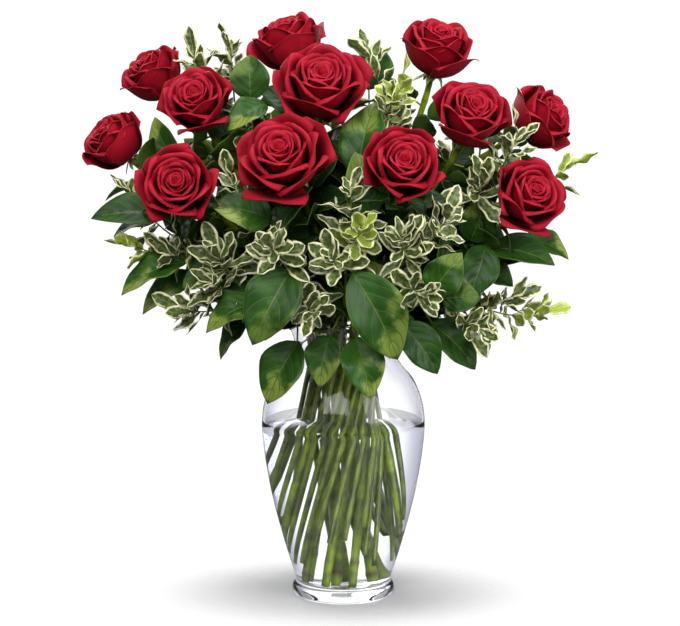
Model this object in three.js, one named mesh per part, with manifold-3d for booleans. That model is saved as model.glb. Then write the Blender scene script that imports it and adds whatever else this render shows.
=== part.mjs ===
// A dozen red roses with salal leaves and variegated pittosporum in a clear glass vase of water.
// Millimetres, +Z up. The origin is the centre of the vase's foot, on the surface it stands on.
// The front of the bouquet faces -Y. Each rose is a bloom on its own stem; each branch of
// greenery is one piece with its leaves. All stems pass the neck of the vase and stand in the water.
import * as THREE from "three";
import { mergeVertices } from "three/addons/utils/BufferGeometryUtils.js";
import Module from "manifold-3d";

const wasm = await Module();
wasm.setup();
const { Manifold, Mesh } = wasm;

// ---- Vase and water -------------------------------------------------------------------
const VASE_HEIGHT = 250;
const VASE_SIDES = 24;
const VASE_WALL = 2.4;
const FLOOR_Z = 11; // top of the thick glass floor
const FLOOR_RADIUS = 38;
const WATER_LEVEL = 160;
const CLEARANCE = 0.35; // gap between touching pieces
// Outside of the vase from the foot to the lip: [radius, height].
const VASE_OUTSIDE = [
  [45, 0], [46.4, 6], [43.8, 13], [53, 46], [65, 92], [72.5, 138], [73, 168], [65, 194], [52, 211],
  [43.4, 226], [50, VASE_HEIGHT],
];
const FIRST_INSIDE_POINT = 2; // the inner wall follows the outside from here up

// ---- Stems ----------------------------------------------------------------------------
const NECK_Z = 226; // every stem passes the neck at this height, at its own place
const FOOT_TURN = -90; // degrees that a stem turns round the axis from the neck down to the floor
const ROSE_FOOT_Z = 12.9; // cut end of a rose that stands on the floor
const ROSE_STEM_RADIUS = 3.7;
const ROSE_STEM_SIDES = 5;
const STEM_STEPS = 6;
const BRANCH_RADIUS = 3;
const BRANCH_SIDES = 3;
const TWIG_RADIUS = 1.1;
const TWIG_SIDES = 3;
const HIP_LENGTH = 9;
const HIP_RADIUS = 5.2;
const SEPALS = 5;
const SEPAL_LENGTH = 15; // out from the axis
const SEPAL_ROOT = 4.6;
const SEPAL_THICKNESS = 1.3;
const SEPAL_DROOP = 1.1; // how far a sepal falls for each millimetre outwards

// ---- Roses ----------------------------------------------------------------------------
// centre: middle of the bloom; face: the way it looks; size: width of the open bloom;
// open: how far its outer petals have fallen open; neck: [distance from the axis, angle] of its
// stem there; foot: [distance from the axis, height] of the stem's cut end.
const ROSES = [
  {
    name: "far_left", centre: [-203, 0, 409], face: [-0.62, -0.42, 0.66], size: 66, open: 0.7, spin: 25,
    neck: [21, 176], foot: [31, ROSE_FOOT_Z],
  },
  {
    name: "upper_left", centre: [-172, 55, 468], face: [-0.5, -0.38, 0.78], size: 68, open: 0.75, spin: 80,
    neck: [21, 138], foot: [32, ROSE_FOOT_Z],
  },
  {
    name: "left_middle", centre: [-127, -20, 444], face: [-0.16, -0.8, 0.58], size: 70, open: 0.9, spin: 140,
    neck: [9.5, 192], foot: [17, ROSE_FOOT_Z],
  },
  {
    name: "lower_left", centre: [-139, -90, 377], face: [-0.04, -0.96, 0.26], size: 71, open: 0.85, spin: 200,
    neck: [21, 214], foot: [54, 80],
  },
  {
    name: "top_left", centre: [-50, 50, 497], face: [-0.3, -0.22, 0.93], size: 74, open: 0.9, spin: 10,
    neck: [9.5, 105], foot: [20, ROSE_FOOT_Z],
  },
  {
    name: "centre_top", centre: [-19, -50, 457], face: [0.05, -0.76, 0.65], size: 86, open: 1.05, spin: 60,
    neck: [9.5, 265], foot: [24, ROSE_FOOT_Z],
  },
  {
    name: "centre_low", centre: [-49, -105, 398], face: [-0.2, -0.82, 0.54], size: 84, open: 1.1, spin: 250,
    neck: [21, 252], foot: [45.5, 48],
  },
  {
    name: "top_right", centre: [84, 30, 491], face: [0.16, -0.48, 0.86], size: 74, open: 0.85, spin: 310,
    neck: [21, 55], foot: [47, 56],
  },
  {
    name: "right_middle", centre: [110, -45, 432], face: [0.2, -0.72, 0.66], size: 74, open: 0.8, spin: 120,
    neck: [9.5, 340], foot: [18, ROSE_FOOT_Z],
  },
  {
    name: "centre_right", centre: [50, -105, 393], face: [0.06, -0.92, 0.4], size: 72, open: 0.8, spin: 170,
    neck: [21, 292], foot: [33, ROSE_FOOT_Z],
  },
  {
    name: "far_right", centre: [178, 30, 429], face: [0.76, -0.42, 0.5], size: 70, open: 0.95, spin: 220,
    neck: [21, 12], foot: [33, ROSE_FOOT_Z],
  },
  {
    name: "lower_right", centre: [157, -60, 365], face: [0.4, -0.82, 0.42], size: 72, open: 1.0, spin: 280,
    neck: [21, 332], foot: [33, ROSE_FOOT_Z],
  },
];
const PETALS = 30; // a whole bloom's spiral of petals, 0 the outermost
const PETALS_MADE = [0, 1, 2, 3, 4, 6, 8, 11, 14, 18];
const OUTER_PETALS = 5; // the rest are made narrower and with fewer folds
const INNER_WIDTH = 0.7;
const GOLDEN_ANGLE = 137.508;
const BLOOM_SIZE = 80; // the size that the petal formulas are written for
const BLOOM_MIDDLE = 24; // height of a bloom's middle above its base, at that size
const PETAL_THICKNESS = 0.9;
const CORE_OUTLINE = [[0, 0], [9.5, 0], [6, 46], [0, 51]];
const CORE_SIDES = 4;
const OUTER_FOLDS = { columns: 2, rows: [0, 0.45, 0.78, 1] };
const INNER_FOLDS = { columns: 2, rows: [0, 0.66, 1] };

// ---- Salal: broad leaves --------------------------------------------------------------
// end: end of the branch; neck and foot: as for the roses.
// leaves: [where on the branch, base of the blade, tip of the blade, width, way its face looks].
const SALAL = [
  { name: "low_left", neck: [30, 225], end: [-62, -62, 292], foot: [55, 82], leaves: [
    [0.98, [-43, -95, 307], [-77, -112, 244], 50, [-0.1, -1, 0.35]],
    [0.6, [-38, -62, 240], [-68, -66, 186], 42, [-0.3, -1, 0.3]],
    [0.9, [-73, -70, 275], [-119, -78, 252], 38, [-0.1, -0.7, 0.8]],
    [0.75, [-82, -40, 256], [-109, -40, 221], 30, [-0.5, -0.6, 0.6]]] },
  { name: "left", neck: [30, 188], end: [-150, -8, 330], foot: [50, 64], leaves: [
    [0.7, [-137, -30, 306], [-196, -42, 282], 36, [-0.1, -0.6, 0.8]],
    [0.62, [-130, -8, 292], [-181, -18, 262], 34, [-0.2, -0.7, 0.7]],
    [0.98, [-159, -30, 348], [-220, -40, 344], 40, [0, -0.75, 0.65]],
    [0.9, [-156, -2, 343], [-206, 4, 325], 32, [-0.1, -0.5, 0.8]],
    [1, [-148, 22, 386], [-173, 32, 432], 30, [-0.4, -0.9, 0.1]],
    [0.5, [-99, -38, 301], [-141, -46, 286], 36, [-0.1, -0.8, 0.6]]] },
  { name: "top_left", neck: [30, 152], end: [-86, 6, 430], foot: [41, 31], leaves: [
    [1, [-83, 15, 446], [-84, 22, 488], 38, [0, -1, 0.15]],
    [0.95, [-68, -12, 444], [-101, -32, 423], 30, [0.1, -0.7, 0.7]],
    [0.6, [-62, -62, 346], [-112, -78, 360], 42, [0.1, -0.9, 0.4]],
    [1, [-96, 24, 404], [-120, 34, 436], 34, [-0.3, -0.9, 0.2]]] },
  { name: "top", neck: [30, 295], end: [24, -22, 400], foot: [42, 34], leaves: [
    [1, [22, 14, 456], [31, 28, 496], 38, [0.1, -1, 0.1]],
    [0.9, [12, -62, 384], [27, -48, 447], 44, [-0.3, -1, 0.1]],
    [0.75, [22, -78, 350], [10, -84, 404], 40, [0.2, -1, 0.1]],
    [0.95, [46, 12, 426], [40, 16, 466], 36, [0, -1, 0.2]],
    [0.6, [-5, -40, 316], [7, -48, 365], 38, [0.1, -1, 0.1]]] },
  { name: "low_centre", neck: [30, 261], end: [2, -88, 300], foot: [42, 40], leaves: [
    [0.5, [-12, -66, 246], [-21, -80, 203], 34, [-0.2, -1, 0.2]],
    [0.62, [10, -76, 246], [24, -88, 194], 40, [0.1, -1, 0.2]],
    [0.98, [7, -108, 305], [48, -96, 228], 52, [0.15, -1, 0.3]],
    [0.75, [-53, -42, 305], [-39, -50, 356], 38, [0, -1, 0.2]],
    [0.9, [42, -62, 271], [31, -70, 313], 34, [0, -1, 0.2]]] },
  { name: "low_right", neck: [30, 326], end: [84, -62, 282], foot: [48, 58], leaves: [
    [0.6, [50, -74, 258], [81, -74, 213], 36, [0.2, -1, 0.4]],
    [0.75, [75, -50, 255], [116, -48, 213], 38, [0.3, -0.8, 0.5]],
    [0.95, [84, -66, 277], [118, -68, 278], 34, [0.2, -0.8, 0.5]],
    [1, [74, -92, 286], [99, -102, 320], 36, [0.1, -1, 0.3]],
    [0.8, [108, -22, 252], [130, -22, 226], 24, [0.3, -0.8, 0.5]],
    [0.9, [60, -42, 305], [71, -50, 349], 38, [0.1, -1, 0.2]]] },
  { name: "right", neck: [30, 354], end: [132, -16, 322], foot: [49, 73], leaves: [
    [0.8, [124, -42, 322], [108, -58, 276], 36, [0.2, -1, 0.2]],
    [0.9, [130, -34, 318], [184, -48, 305], 40, [0.1, -0.7, 0.8]],
    [1, [160, -2, 324], [202, -8, 309], 32, [0.1, -0.6, 0.8]],
    [0.72, [122, -14, 299], [150, -26, 284], 26, [0.2, -0.8, 0.6]],
    [1, [111, -28, 323], [126, -36, 364], 34, [0.1, -1, 0.2]],
    [0.6, [98, -30, 272], [111, -38, 310], 32, [0.1, -1, 0.2]]] },
  { name: "back_left", neck: [30, 118], end: [-78, 88, 372], foot: [42, 40], leaves: [
    [0.4, [-46, 62, 266], [-74, 84, 220], 44, [-0.4, 1, 0.3]],
    [0.6, [-84, 72, 306], [-138, 92, 288], 42, [-0.3, 0.7, 0.7]],
    [0.75, [-46, 100, 330], [-34, 132, 278], 46, [-0.1, 1, 0.3]],
    [0.9, [-108, 84, 376], [-150, 104, 410], 40, [-0.3, 0.9, 0.2]],
    [1, [-66, 92, 388], [-50, 100, 448], 42, [-0.1, 1, 0.1]]] },
  { name: "back_right", neck: [30, 65], end: [66, 88, 366], foot: [40, 34], leaves: [
    [0.4, [34, 64, 262], [52, 88, 212], 44, [0.3, 1, 0.3]],
    [0.6, [86, 66, 300], [140, 84, 280], 42, [0.3, 0.7, 0.7]],
    [0.75, [34, 102, 326], [18, 136, 276], 46, [0.1, 1, 0.3]],
    [0.9, [112, 80, 360], [158, 96, 386], 42, [0.3, 0.9, 0.3]],
    [1, [50, 92, 388], [34, 104, 448], 42, [0.1, 1, 0.1]]] },
];
const SALAL_THICKNESS = 0.8;
const SALAL_FOLD = 0.3; // the two halves rise from the midrib by this angle
const SALAL_SAG = 0.1; // how far the midrib arches, as a share of the length

// ---- Pittosporum: sprays of small waved leaves ------------------------------------------
// sprays: [where on the branch the twig leaves it, end of the twig].
const PITTOSPORUM = [
  { name: "low_left", neck: [30, 207], end: [-92, -42, 292], foot: [59, 100], sprays: [
    [0.8, [-142, -52, 268]], [0.92, [-112, -66, 292]], [1, [-108, -72, 318]]] },
  { name: "left", neck: [30, 170], end: [-132, -22, 320], foot: [46, 49], sprays: [
    [0.95, [-186, -28, 322]], [0.85, [-152, -38, 312]], [1, [-188, -14, 368]]] },
  { name: "centre_left", neck: [30, 243], end: [-50, -84, 318], foot: [50, 64], sprays: [
    [0.95, [-62, -118, 330]], [0.8, [-24, -116, 270]], [1, [-98, -66, 382]]] },
  { name: "centre", neck: [30, 278], end: [6, -84, 326], foot: [41, 31], sprays: [
    [0.95, [14, -118, 344]], [0.85, [-10, -120, 318]], [1, [6, -104, 376]]] },
  { name: "centre_right", neck: [30, 311], end: [56, -88, 318], foot: [46, 52], sprays: [
    [0.85, [68, -116, 284]], [0.95, [48, -120, 336]], [1, [88, -102, 352]]] },
  { name: "right", neck: [30, 340], end: [118, -26, 366], foot: [49, 61], sprays: [
    [0.9, [122, -62, 384]], [1, [204, -8, 392]], [1, [150, -52, 418]]] },
  { name: "low_right", neck: [30, 9], end: [108, -30, 278], foot: [45, 46], sprays: [
    [0.95, [180, -22, 262]], [0.85, [150, -38, 276]], [0.75, [118, -74, 246]]] },
  { name: "top_right", neck: [30, 46], end: [54, -14, 420], foot: [52, 73], sprays: [
    [1, [66, -72, 462]], [0.95, [36, -58, 440]], [1, [22, 6, 492]]] },
  { name: "top_left", neck: [30, 135], end: [-98, 58, 430], foot: [48, 55], sprays: [
    [1, [-102, 36, 496]], [0.95, [-134, 24, 486]], [0.9, [-72, -4, 412]]] },
  { name: "back_left", neck: [30, 98], end: [-20, 84, 356], foot: [38, 31], sprays: [
    [0.8, [-104, 106, 338]], [0.95, [-30, 126, 392]], [1, [-6, 96, 440]]] },
  { name: "back_right", neck: [30, 28], end: [76, 72, 348], foot: [42, 34], sprays: [
    [0.8, [120, 92, 318]], [0.95, [78, 118, 372]], [1, [112, 74, 428]]] },
];
const SPRAY_LEAVES_MADE = [0, 3]; // of a whole spray's leaves, 0 the topmost
const SPRAY_LEAF_STEP = 0.085; // share of the twig between two leaves
const SPRAY_LEAF_LENGTH = 31;
const SPRAY_LEAF_WIDTH = 14;
const SPRAY_THICKNESS = 0.7;
const TWIG_RISE = 0.25; // how far a twig bows upwards, as a share of its length

// Ways that a stem or leaf is swung aside and lifted, in shares of its length, to clear its neighbours.
const STEM_BENDS = [
  [0, 0], [0.08, 0], [-0.08, 0], [0, 0.08], [0, -0.08], [0.15, 0], [-0.15, 0], [0, 0.15],
  [0.12, 0.12], [-0.12, 0.12], [0.12, -0.12], [-0.12, -0.12], [0.22, 0], [-0.22, 0], [0, 0.22],
  [0.3, 0.1], [-0.3, 0.1], [0.3, -0.15], [-0.3, -0.15], [0.4, 0], [-0.4, 0], [0.2, 0.3], [-0.2, 0.3],
  [0.5, 0.2], [-0.5, 0.2],
];
const LEAF_SWINGS = [
  [0, 0], [0.2, 0], [-0.2, 0], [0, 0.2], [0, -0.2], [0.35, 0.2], [-0.35, 0.2], [0.35, -0.2],
  [-0.35, -0.2], [0, 0.4], [0, -0.4], [0.6, 0], [-0.6, 0], [0.6, 0.4], [-0.6, 0.4], [0.6, -0.4],
  [-0.6, -0.4],
];
const LEAF_CLEARANCE = 0.5;
const LEAF_ROWS = [0, 0.32, 0.68, 1];

const UP = new THREE.Vector3(0, 0, 1);
const radians = THREE.MathUtils.degToRad;
const lerp = THREE.MathUtils.lerp;
const vec = (p) => new THREE.Vector3(...p);

// A repeatable draw from 0 to 1 for each seed.
function draw(seed) {
  const x = Math.sin(seed * 12.9898 + 4.1414) * 43758.5453;
  return x - Math.floor(x);
}

// ---- Solids and geometry ----------------------------------------------------------------

function toSolid(geometry) {
  const bare = geometry.clone();
  bare.deleteAttribute("normal");
  bare.deleteAttribute("uv");
  const merged = mergeVertices(bare, 1e-3);
  const index = merged.index.array;
  const triVerts = [];
  for (let i = 0; i < index.length; i += 3) {
    const [a, b, c] = [index[i], index[i + 1], index[i + 2]];
    if (a !== b && b !== c && c !== a) triVerts.push(a, b, c);
  }
  const vertProperties = merged.attributes.position.array;
  return new Manifold(new Mesh({ numProp: 3, vertProperties, triVerts: new Uint32Array(triVerts) }));
}

function toGeometry(solid) {
  const mesh = solid.getMesh();
  const geometry = new THREE.BufferGeometry();
  geometry.setAttribute("position", new THREE.BufferAttribute(new Float32Array(mesh.vertProperties), 3));
  geometry.setIndex(new THREE.BufferAttribute(new Uint32Array(mesh.triVerts), 1));
  geometry.computeVertexNormals();
  return geometry;
}

// Joins solids and keeps the one body that holds together.
function fuse(solids) {
  const bodies = Manifold.union(solids).decompose();
  return bodies.reduce((a, b) => (a.volume() > b.volume() ? a : b));
}

// A round or tapering turned shape about Z from [radius, height] points that close on the axis.
function turned(outline, sides) {
  const profile = outline.map(([r, z]) => new THREE.Vector2(r, z));
  return toSolid(new THREE.LatheGeometry(profile, sides).rotateX(Math.PI / 2));
}

function onCircle(radius, angle) {
  return new THREE.Vector2(radius * Math.cos(angle), radius * Math.sin(angle));
}

function tube(curve, radius, sides, steps) {
  const corner = (i) => onCircle(radius, (2 * Math.PI * i) / sides);
  const section = new THREE.Shape(Array.from({ length: sides }, (_, i) => corner(i)));
  return toSolid(new THREE.ExtrudeGeometry(section, { steps, extrudePath: curve, bevelEnabled: false }));
}

// The way a surface faces at (u, v): u runs from -1 to 1 across it and v from 0 to 1 along it.
function normalOf(surface, u, v) {
  const step = 0.01;
  const along = v < 0 ? -0.9 : THREE.MathUtils.clamp(v, 0.04, 0.96);
  const across = surface(u + step, along).sub(surface(u - step, along));
  const up = surface(u, along + step).sub(surface(u, along - step));
  return across.cross(up).normalize();
}

// A thin closed blade over a surface, with the same triangles on both of its faces.
function blade(surface, columns, rows, thickness) {
  const positions = [];
  for (const offset of [thickness / 2, -thickness / 2])
    for (const v of rows) {
      const pointed = surface(-1, v).distanceTo(surface(1, v)) < 0.01;
      for (let c = 0; c <= columns; c++) {
        const u = pointed ? 0 : (2 * c) / columns - 1;
        const point = surface(u, v).addScaledVector(normalOf(surface, u, v), offset);
        positions.push(point.x, point.y, point.z);
      }
    }
  const wide = columns + 1;
  const last = rows.length - 1;
  const below = wide * rows.length;
  const at = (r, c) => r * wide + c;
  const index = [];
  for (let r = 0; r < last; r++)
    for (let c = 0; c < columns; c++) {
      const [a, b, d, e] = [at(r, c), at(r, c + 1), at(r + 1, c + 1), at(r + 1, c)];
      index.push(a, b, d, a, d, e);
      index.push(a + below, d + below, b + below, a + below, e + below, d + below);
    }
  const edge = [];
  for (let c = 0; c < columns; c++) edge.push(at(0, c));
  for (let r = 0; r < last; r++) edge.push(at(r, columns));
  for (let c = columns; c > 0; c--) edge.push(at(last, c));
  for (let r = last; r > 0; r--) edge.push(at(r, 0));
  edge.forEach((p, i) => {
    const q = edge[(i + 1) % edge.length];
    index.push(q, p, p + below, q, p + below, q + below);
  });
  const geometry = new THREE.BufferGeometry();
  geometry.setAttribute("position", new THREE.Float32BufferAttribute(positions, 3));
  geometry.setIndex(index);
  return toSolid(geometry);
}

// ---- Placing: each piece takes the first way that clears what is already there -------------
const placed = []; // { owner, solid, box }
const leftOut = [];

function remember(owner, solid) {
  placed.push({ owner, solid, box: solid.boundingBox() });
  return solid;
}

function isClear(owner, solid, gap) {
  const box = solid.boundingBox();
  const meets = (other, k) => other.min[k] - gap < box.max[k] && box.min[k] - gap < other.max[k];
  const near = (other) => [0, 1, 2].every((k) => meets(other, k));
  const apart = (other) => other.minGap(solid, gap) >= gap * 0.999;
  return placed.every((p) => p.owner === owner || !near(p.box) || apart(p.solid));
}

// make(sway, lift) gives { solid, ... }; the first clear one is kept and returned.
function settle(owner, ways, gap, make, must) {
  for (const [sway, lift] of ways) {
    const made = make(sway, lift);
    if (isClear(owner, made.solid, gap)) {
      remember(owner, made.solid);
      return made;
    }
  }
  leftOut.push(owner + " " + must);
  return null;
}

// ---- Stems ----------------------------------------------------------------------------

// Straight from the foot to the neck of the vase in its first step, then a smooth curve to the end.
class StemCurve extends THREE.Curve {
  constructor(neck, foot, end, endWay, sway, lift) {
    super();
    const [radius, angle] = neck;
    const [footRadius, footZ] = foot;
    const place = (r, a, z) => new THREE.Vector3(r * Math.cos(radians(a)), r * Math.sin(radians(a)), z);
    const turn = (FOOT_TURN * (NECK_Z - footZ)) / (NECK_Z - FLOOR_Z);
    this.neck = place(radius, angle, NECK_Z);
    this.foot = place(footRadius, angle + turn, footZ);
    const reach = this.neck.distanceTo(end);
    const way = this.neck.clone().sub(this.foot).normalize();
    const side = new THREE.Vector3().crossVectors(end.clone().sub(this.neck), UP).normalize();
    const shift = side.multiplyScalar(sway * reach).addScaledVector(UP, lift * reach);
    const out = this.neck.clone().addScaledVector(way, reach * 0.35).add(shift);
    const back = end.clone().addScaledVector(endWay, -reach * 0.4).add(shift);
    this.upper = new THREE.CubicBezierCurve3(this.neck, out, back, end);
  }
  getPoint(t, target = new THREE.Vector3()) {
    const step = t * STEM_STEPS;
    if (step < 1) return target.lerpVectors(this.foot, this.neck, step);
    return this.upper.getPointAt((step - 1) / (STEM_STEPS - 1), target);
  }
  // Steps are even in t, so that the straight part takes only one of them.
  getPointAt(t, target) {
    return this.getPoint(t, target);
  }
  getTangentAt(t, target) {
    return this.getTangent(t, target);
  }
}

// ---- Rose bloom -------------------------------------------------------------------------

// The petals of a bloom get narrower, steeper and more wrapped from the outermost to the innermost.
function petalShape(i, rose) {
  const t = i / (PETALS - 1);
  const belly = lerp(27, 3, t ** 0.85);
  const flare = 15.5 * rose.open * (1 - t) ** 3;
  const settled = Math.min(1, t / 0.45);
  return {
    turn: radians(rose.spin + i * GOLDEN_ANGLE),
    root: 1 + 18 * t,
    belly,
    tipRadius: belly + flare - 2 * t,
    tipHeight: lerp(31 + 14 * (1 - rose.open), 52, settled * (2 - settled)) - 4 * t * t,
    width: lerp(25, 10, t),
    length: 46,
    flatness: lerp(1.4, 1.05, Math.min(1, t * 1.6)),
    fold: lerp(0.5, 0.2, Math.sqrt(t)),
    roll: lerp(2.5, 1, Math.sqrt(t)),
  };
}

// The petal before its rim is rolled back: u from -1 to 1 across, v from 0 to 1 up.
function petalSheet(shape, u, v) {
  const w = v * (1 - 0.1 * Math.abs(u) ** 3);
  const m = 1 - w;
  const [r1, r2, r3] = [shape.belly * 1.12 + 1, shape.belly * 0.9 + shape.tipRadius * 0.12, shape.tipRadius];
  const r = 1.2 * m ** 3 + 3 * r1 * m * m * w + 3 * r2 * m * w * w + r3 * w ** 3;
  const middle = lerp(shape.root, shape.tipHeight, 0.62);
  const z = shape.root * (m ** 3 + 3 * m * m * w) + 3 * middle * m * w * w + shape.tipHeight * w ** 3;
  const wrap = Math.max(r, 3) * shape.flatness;
  const half = Math.min(2.1, (shape.width * 1.3 * w ** 0.55 * (1 - 0.35 * w ** 4)) / wrap);
  const radial = r + wrap * (Math.cos(u * half) - 1);
  const point = new THREE.Vector3(radial, wrap * Math.sin(u * half), z);
  return point.applyAxisAngle(UP, shape.turn);
}

// The rim rolls back outwards past a fold that falls from the tip to the sides, so the tip stays pointed.
function petalPoint(shape, u, v) {
  const past = v + shape.fold * Math.abs(u) - 1;
  if (past <= 0) return petalSheet(shape, u, v);
  const [du, dv] = [(shape.fold * Math.sign(u)) / shape.width, 1 / shape.length];
  const slope = Math.hypot(du, dv);
  const reach = past / slope;
  const [u0, v0] = [u - (reach * du) / slope / shape.width, v - (reach * dv) / slope / shape.length];
  const step = 0.01;
  const start = petalSheet(shape, u0, v0);
  const across = petalSheet(shape, u0 + step, v0).sub(start).normalize();
  const up = petalSheet(shape, u0, v0 + step).sub(start).normalize();
  const out = across.clone().cross(up).normalize();
  const way = across.multiplyScalar(du).addScaledVector(up, dv).normalize();
  const radius = shape.fold / slope / shape.roll;
  const angle = reach / radius;
  start.addScaledVector(way, radius * Math.sin(angle));
  return start.addScaledVector(out, radius * (1 - Math.cos(angle)));
}

// Turns a shape modelled looking up +Z so that it looks along face, and puts its base at base.
function pose(geometryOrSolid, base, face, scale) {
  const turn = new THREE.Quaternion().setFromUnitVectors(UP, face);
  const matrix = new THREE.Matrix4().compose(base, turn, new THREE.Vector3(scale, scale, scale));
  return geometryOrSolid.transform(matrix.elements);
}

function bloom(rose) {
  const petals = PETALS_MADE.map((i) => {
    const shape = petalShape(i, rose);
    shape.width *= i < OUTER_PETALS ? 1 : INNER_WIDTH;
    const { columns, rows } = i < OUTER_PETALS ? OUTER_FOLDS : INNER_FOLDS;
    return blade((u, v) => petalPoint(shape, u, v), columns, rows, PETAL_THICKNESS);
  });
  return fuse([turned(CORE_OUTLINE, CORE_SIDES), ...petals]);
}

// The swelling under the bloom with its five green sepals, which droop from under the petals.
function calyx() {
  const hip = turned([[0, -HIP_LENGTH], [HIP_RADIUS, -4.5], [3.4, -1], [0, -1]], SEPALS);
  const corner = (i) => {
    const reach = i % 2 ? SEPAL_LENGTH * (0.8 + 0.3 * draw(i)) : SEPAL_ROOT;
    return onCircle(reach, (Math.PI * i) / SEPALS);
  };
  const star = new THREE.Shape(Array.from({ length: 2 * SEPALS }, (_, i) => corner(i)));
  const sepals = new THREE.ExtrudeGeometry(star, { depth: SEPAL_THICKNESS, bevelEnabled: false });
  sepals.translate(0, 0, -CLEARANCE - SEPAL_THICKNESS);
  const points = sepals.attributes.position;
  for (let i = 0; i < points.count; i++) {
    const past = Math.hypot(points.getX(i), points.getY(i)) - SEPAL_ROOT;
    points.setZ(i, points.getZ(i) - SEPAL_DROOP * past);
  }
  return fuse([hip, toSolid(sepals)]);
}

// ---- Leaves ---------------------------------------------------------------------------

// A pointed leaf from base to tip whose face looks along facing; below v = 0 it is the stalk,
// which runs back to start at v = -1.
// style: { width, fold, sag, wave, lobes, stalk }: wave ripples the margin and lobes cuts it.
function leafSurface(start, base, tip, facing, style) {
  const along = tip.clone().sub(base);
  const length = along.length();
  along.normalize();
  const side = along.clone().cross(facing).normalize();
  const out = side.clone().cross(along).normalize();
  return (u, v) => {
    const w = THREE.MathUtils.clamp(v, 0, 1);
    const wide = Math.sin(Math.PI * w ** 0.8) ** 0.8 * (1 + style.lobes * Math.sin(9 * Math.PI * w));
    const half = Math.max((style.width / 2) * wide, v < 0.5 ? style.stalk : 0);
    const rise = style.sag * length * 4 * w * (1 - w) + Math.abs(u) * half * Math.sin(style.fold);
    const ripple = style.wave * Math.abs(u) * half * Math.sin(5 * Math.PI * w + (u > 0 ? 0 : 2));
    const spine = v < 0 ? base.clone().lerp(start, -v) : base.clone().addScaledVector(along, v * length);
    return spine.addScaledVector(side, -u * half * Math.cos(style.fold)).addScaledVector(out, rise + ripple);
  };
}

// A leaf's tip, swung aside and lifted by shares of its length.
function swungTip(base, tip, facing, sway, lift) {
  const along = tip.clone().sub(base);
  const length = along.length();
  const side = along.clone().cross(facing).normalize();
  const out = side.clone().cross(along).normalize();
  const way = along.normalize().addScaledVector(side, sway).addScaledVector(out, lift).normalize();
  return base.clone().addScaledVector(way, length);
}

function salalLeaf(branch, row, sway, lift) {
  const [share, baseAt, tipAt, width, facingAt] = row;
  const [base, facing] = [vec(baseAt), vec(facingAt)];
  const tip = swungTip(base, vec(tipAt), facing, sway, lift);
  const style = { width, fold: SALAL_FOLD, sag: SALAL_SAG, wave: 0, lobes: 0, stalk: 1 };
  const surface = leafSurface(branch.upper.getPointAt(share), base, tip, facing, style);
  return { solid: blade(surface, 2, [-1, ...LEAF_ROWS], SALAL_THICKNESS) };
}

function sprayTwig(branch, [share, endAt], sway, lift) {
  const start = branch.upper.getPointAt(share);
  const end = vec(endAt);
  const reach = start.distanceTo(end);
  const side = end.clone().sub(start).cross(UP).normalize();
  end.addScaledVector(side, (sway * reach) / 2).addScaledVector(UP, (lift * reach) / 2);
  const middle = start.clone().lerp(end, 0.55).addScaledVector(UP, (lift - TWIG_RISE) * reach);
  middle.addScaledVector(side, sway * reach);
  const curve = new THREE.QuadraticBezierCurve3(start, middle, end);
  return { curve, solid: tube(curve, TWIG_RADIUS, TWIG_SIDES, 2) };
}

// Leaf k of a spray: the topmost point on along the twig, lower ones stand out from it and are longer.
function sprayLeaf(twig, k, seed, sway, lift) {
  const share = Math.max(0.12, 0.99 - k * SPRAY_LEAF_STEP);
  const start = twig.getPointAt(share);
  const along = twig.getTangentAt(share);
  const across = along.clone().cross(UP).normalize();
  const around = across.applyAxisAngle(along, radians(k * GOLDEN_ANGLE + 360 * draw(seed)));
  const spread = radians(Math.min(78, 24 + 9 * k));
  const way = along.clone().multiplyScalar(Math.cos(spread)).addScaledVector(around, Math.sin(spread));
  const facing = along.clone().multiplyScalar(Math.sin(spread)).addScaledVector(around, -Math.cos(spread));
  const length = SPRAY_LEAF_LENGTH * (0.78 + 0.05 * Math.min(k, 6) + 0.2 * draw(seed + k));
  const tip = swungTip(start, start.clone().addScaledVector(way, length), facing, sway, lift);
  const width = SPRAY_LEAF_WIDTH * (length / SPRAY_LEAF_LENGTH);
  const style = { width, fold: 0.25, sag: -0.06, wave: 0.2, lobes: 0.1, stalk: 0 };
  return { solid: blade(leafSurface(start, start, tip, facing, style), 2, LEAF_ROWS, SPRAY_THICKNESS) };
}

// ---- Building -------------------------------------------------------------------------
function material(color, roughness, opacity = 1) {
  return new THREE.MeshStandardMaterial({ color, roughness, metalness: 0, opacity, transparent: opacity < 1 });
}
const materials = {
  glass: material(0xeef3f4, 0.05, 0.35),
  water: material(0xe6eef0, 0.02, 0.3),
  petal: material(0xa60f22, 0.6),
  stem: material(0x5d7a26, 0.5),
  salal: material(0x1f5a2a, 0.35),
  pittosporum: material(0x7d8c5c, 0.45),
};
const bouquet = new THREE.Group();

function add(name, solid, kind) {
  const mesh = new THREE.Mesh(toGeometry(solid), materials[kind]);
  mesh.name = name;
  bouquet.add(mesh);
}

function insideOutline() {
  const wall = VASE_OUTSIDE.slice(FIRST_INSIDE_POINT);
  return [[FLOOR_RADIUS, FLOOR_Z], ...wall.map(([r, z], i) => [r - VASE_WALL, i === 0 ? z + 1.5 : z])];
}

function vase() {
  const inside = insideOutline().reverse();
  return turned([[0, 0], ...VASE_OUTSIDE, ...inside, [0, FLOOR_Z]], VASE_SIDES);
}

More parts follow.
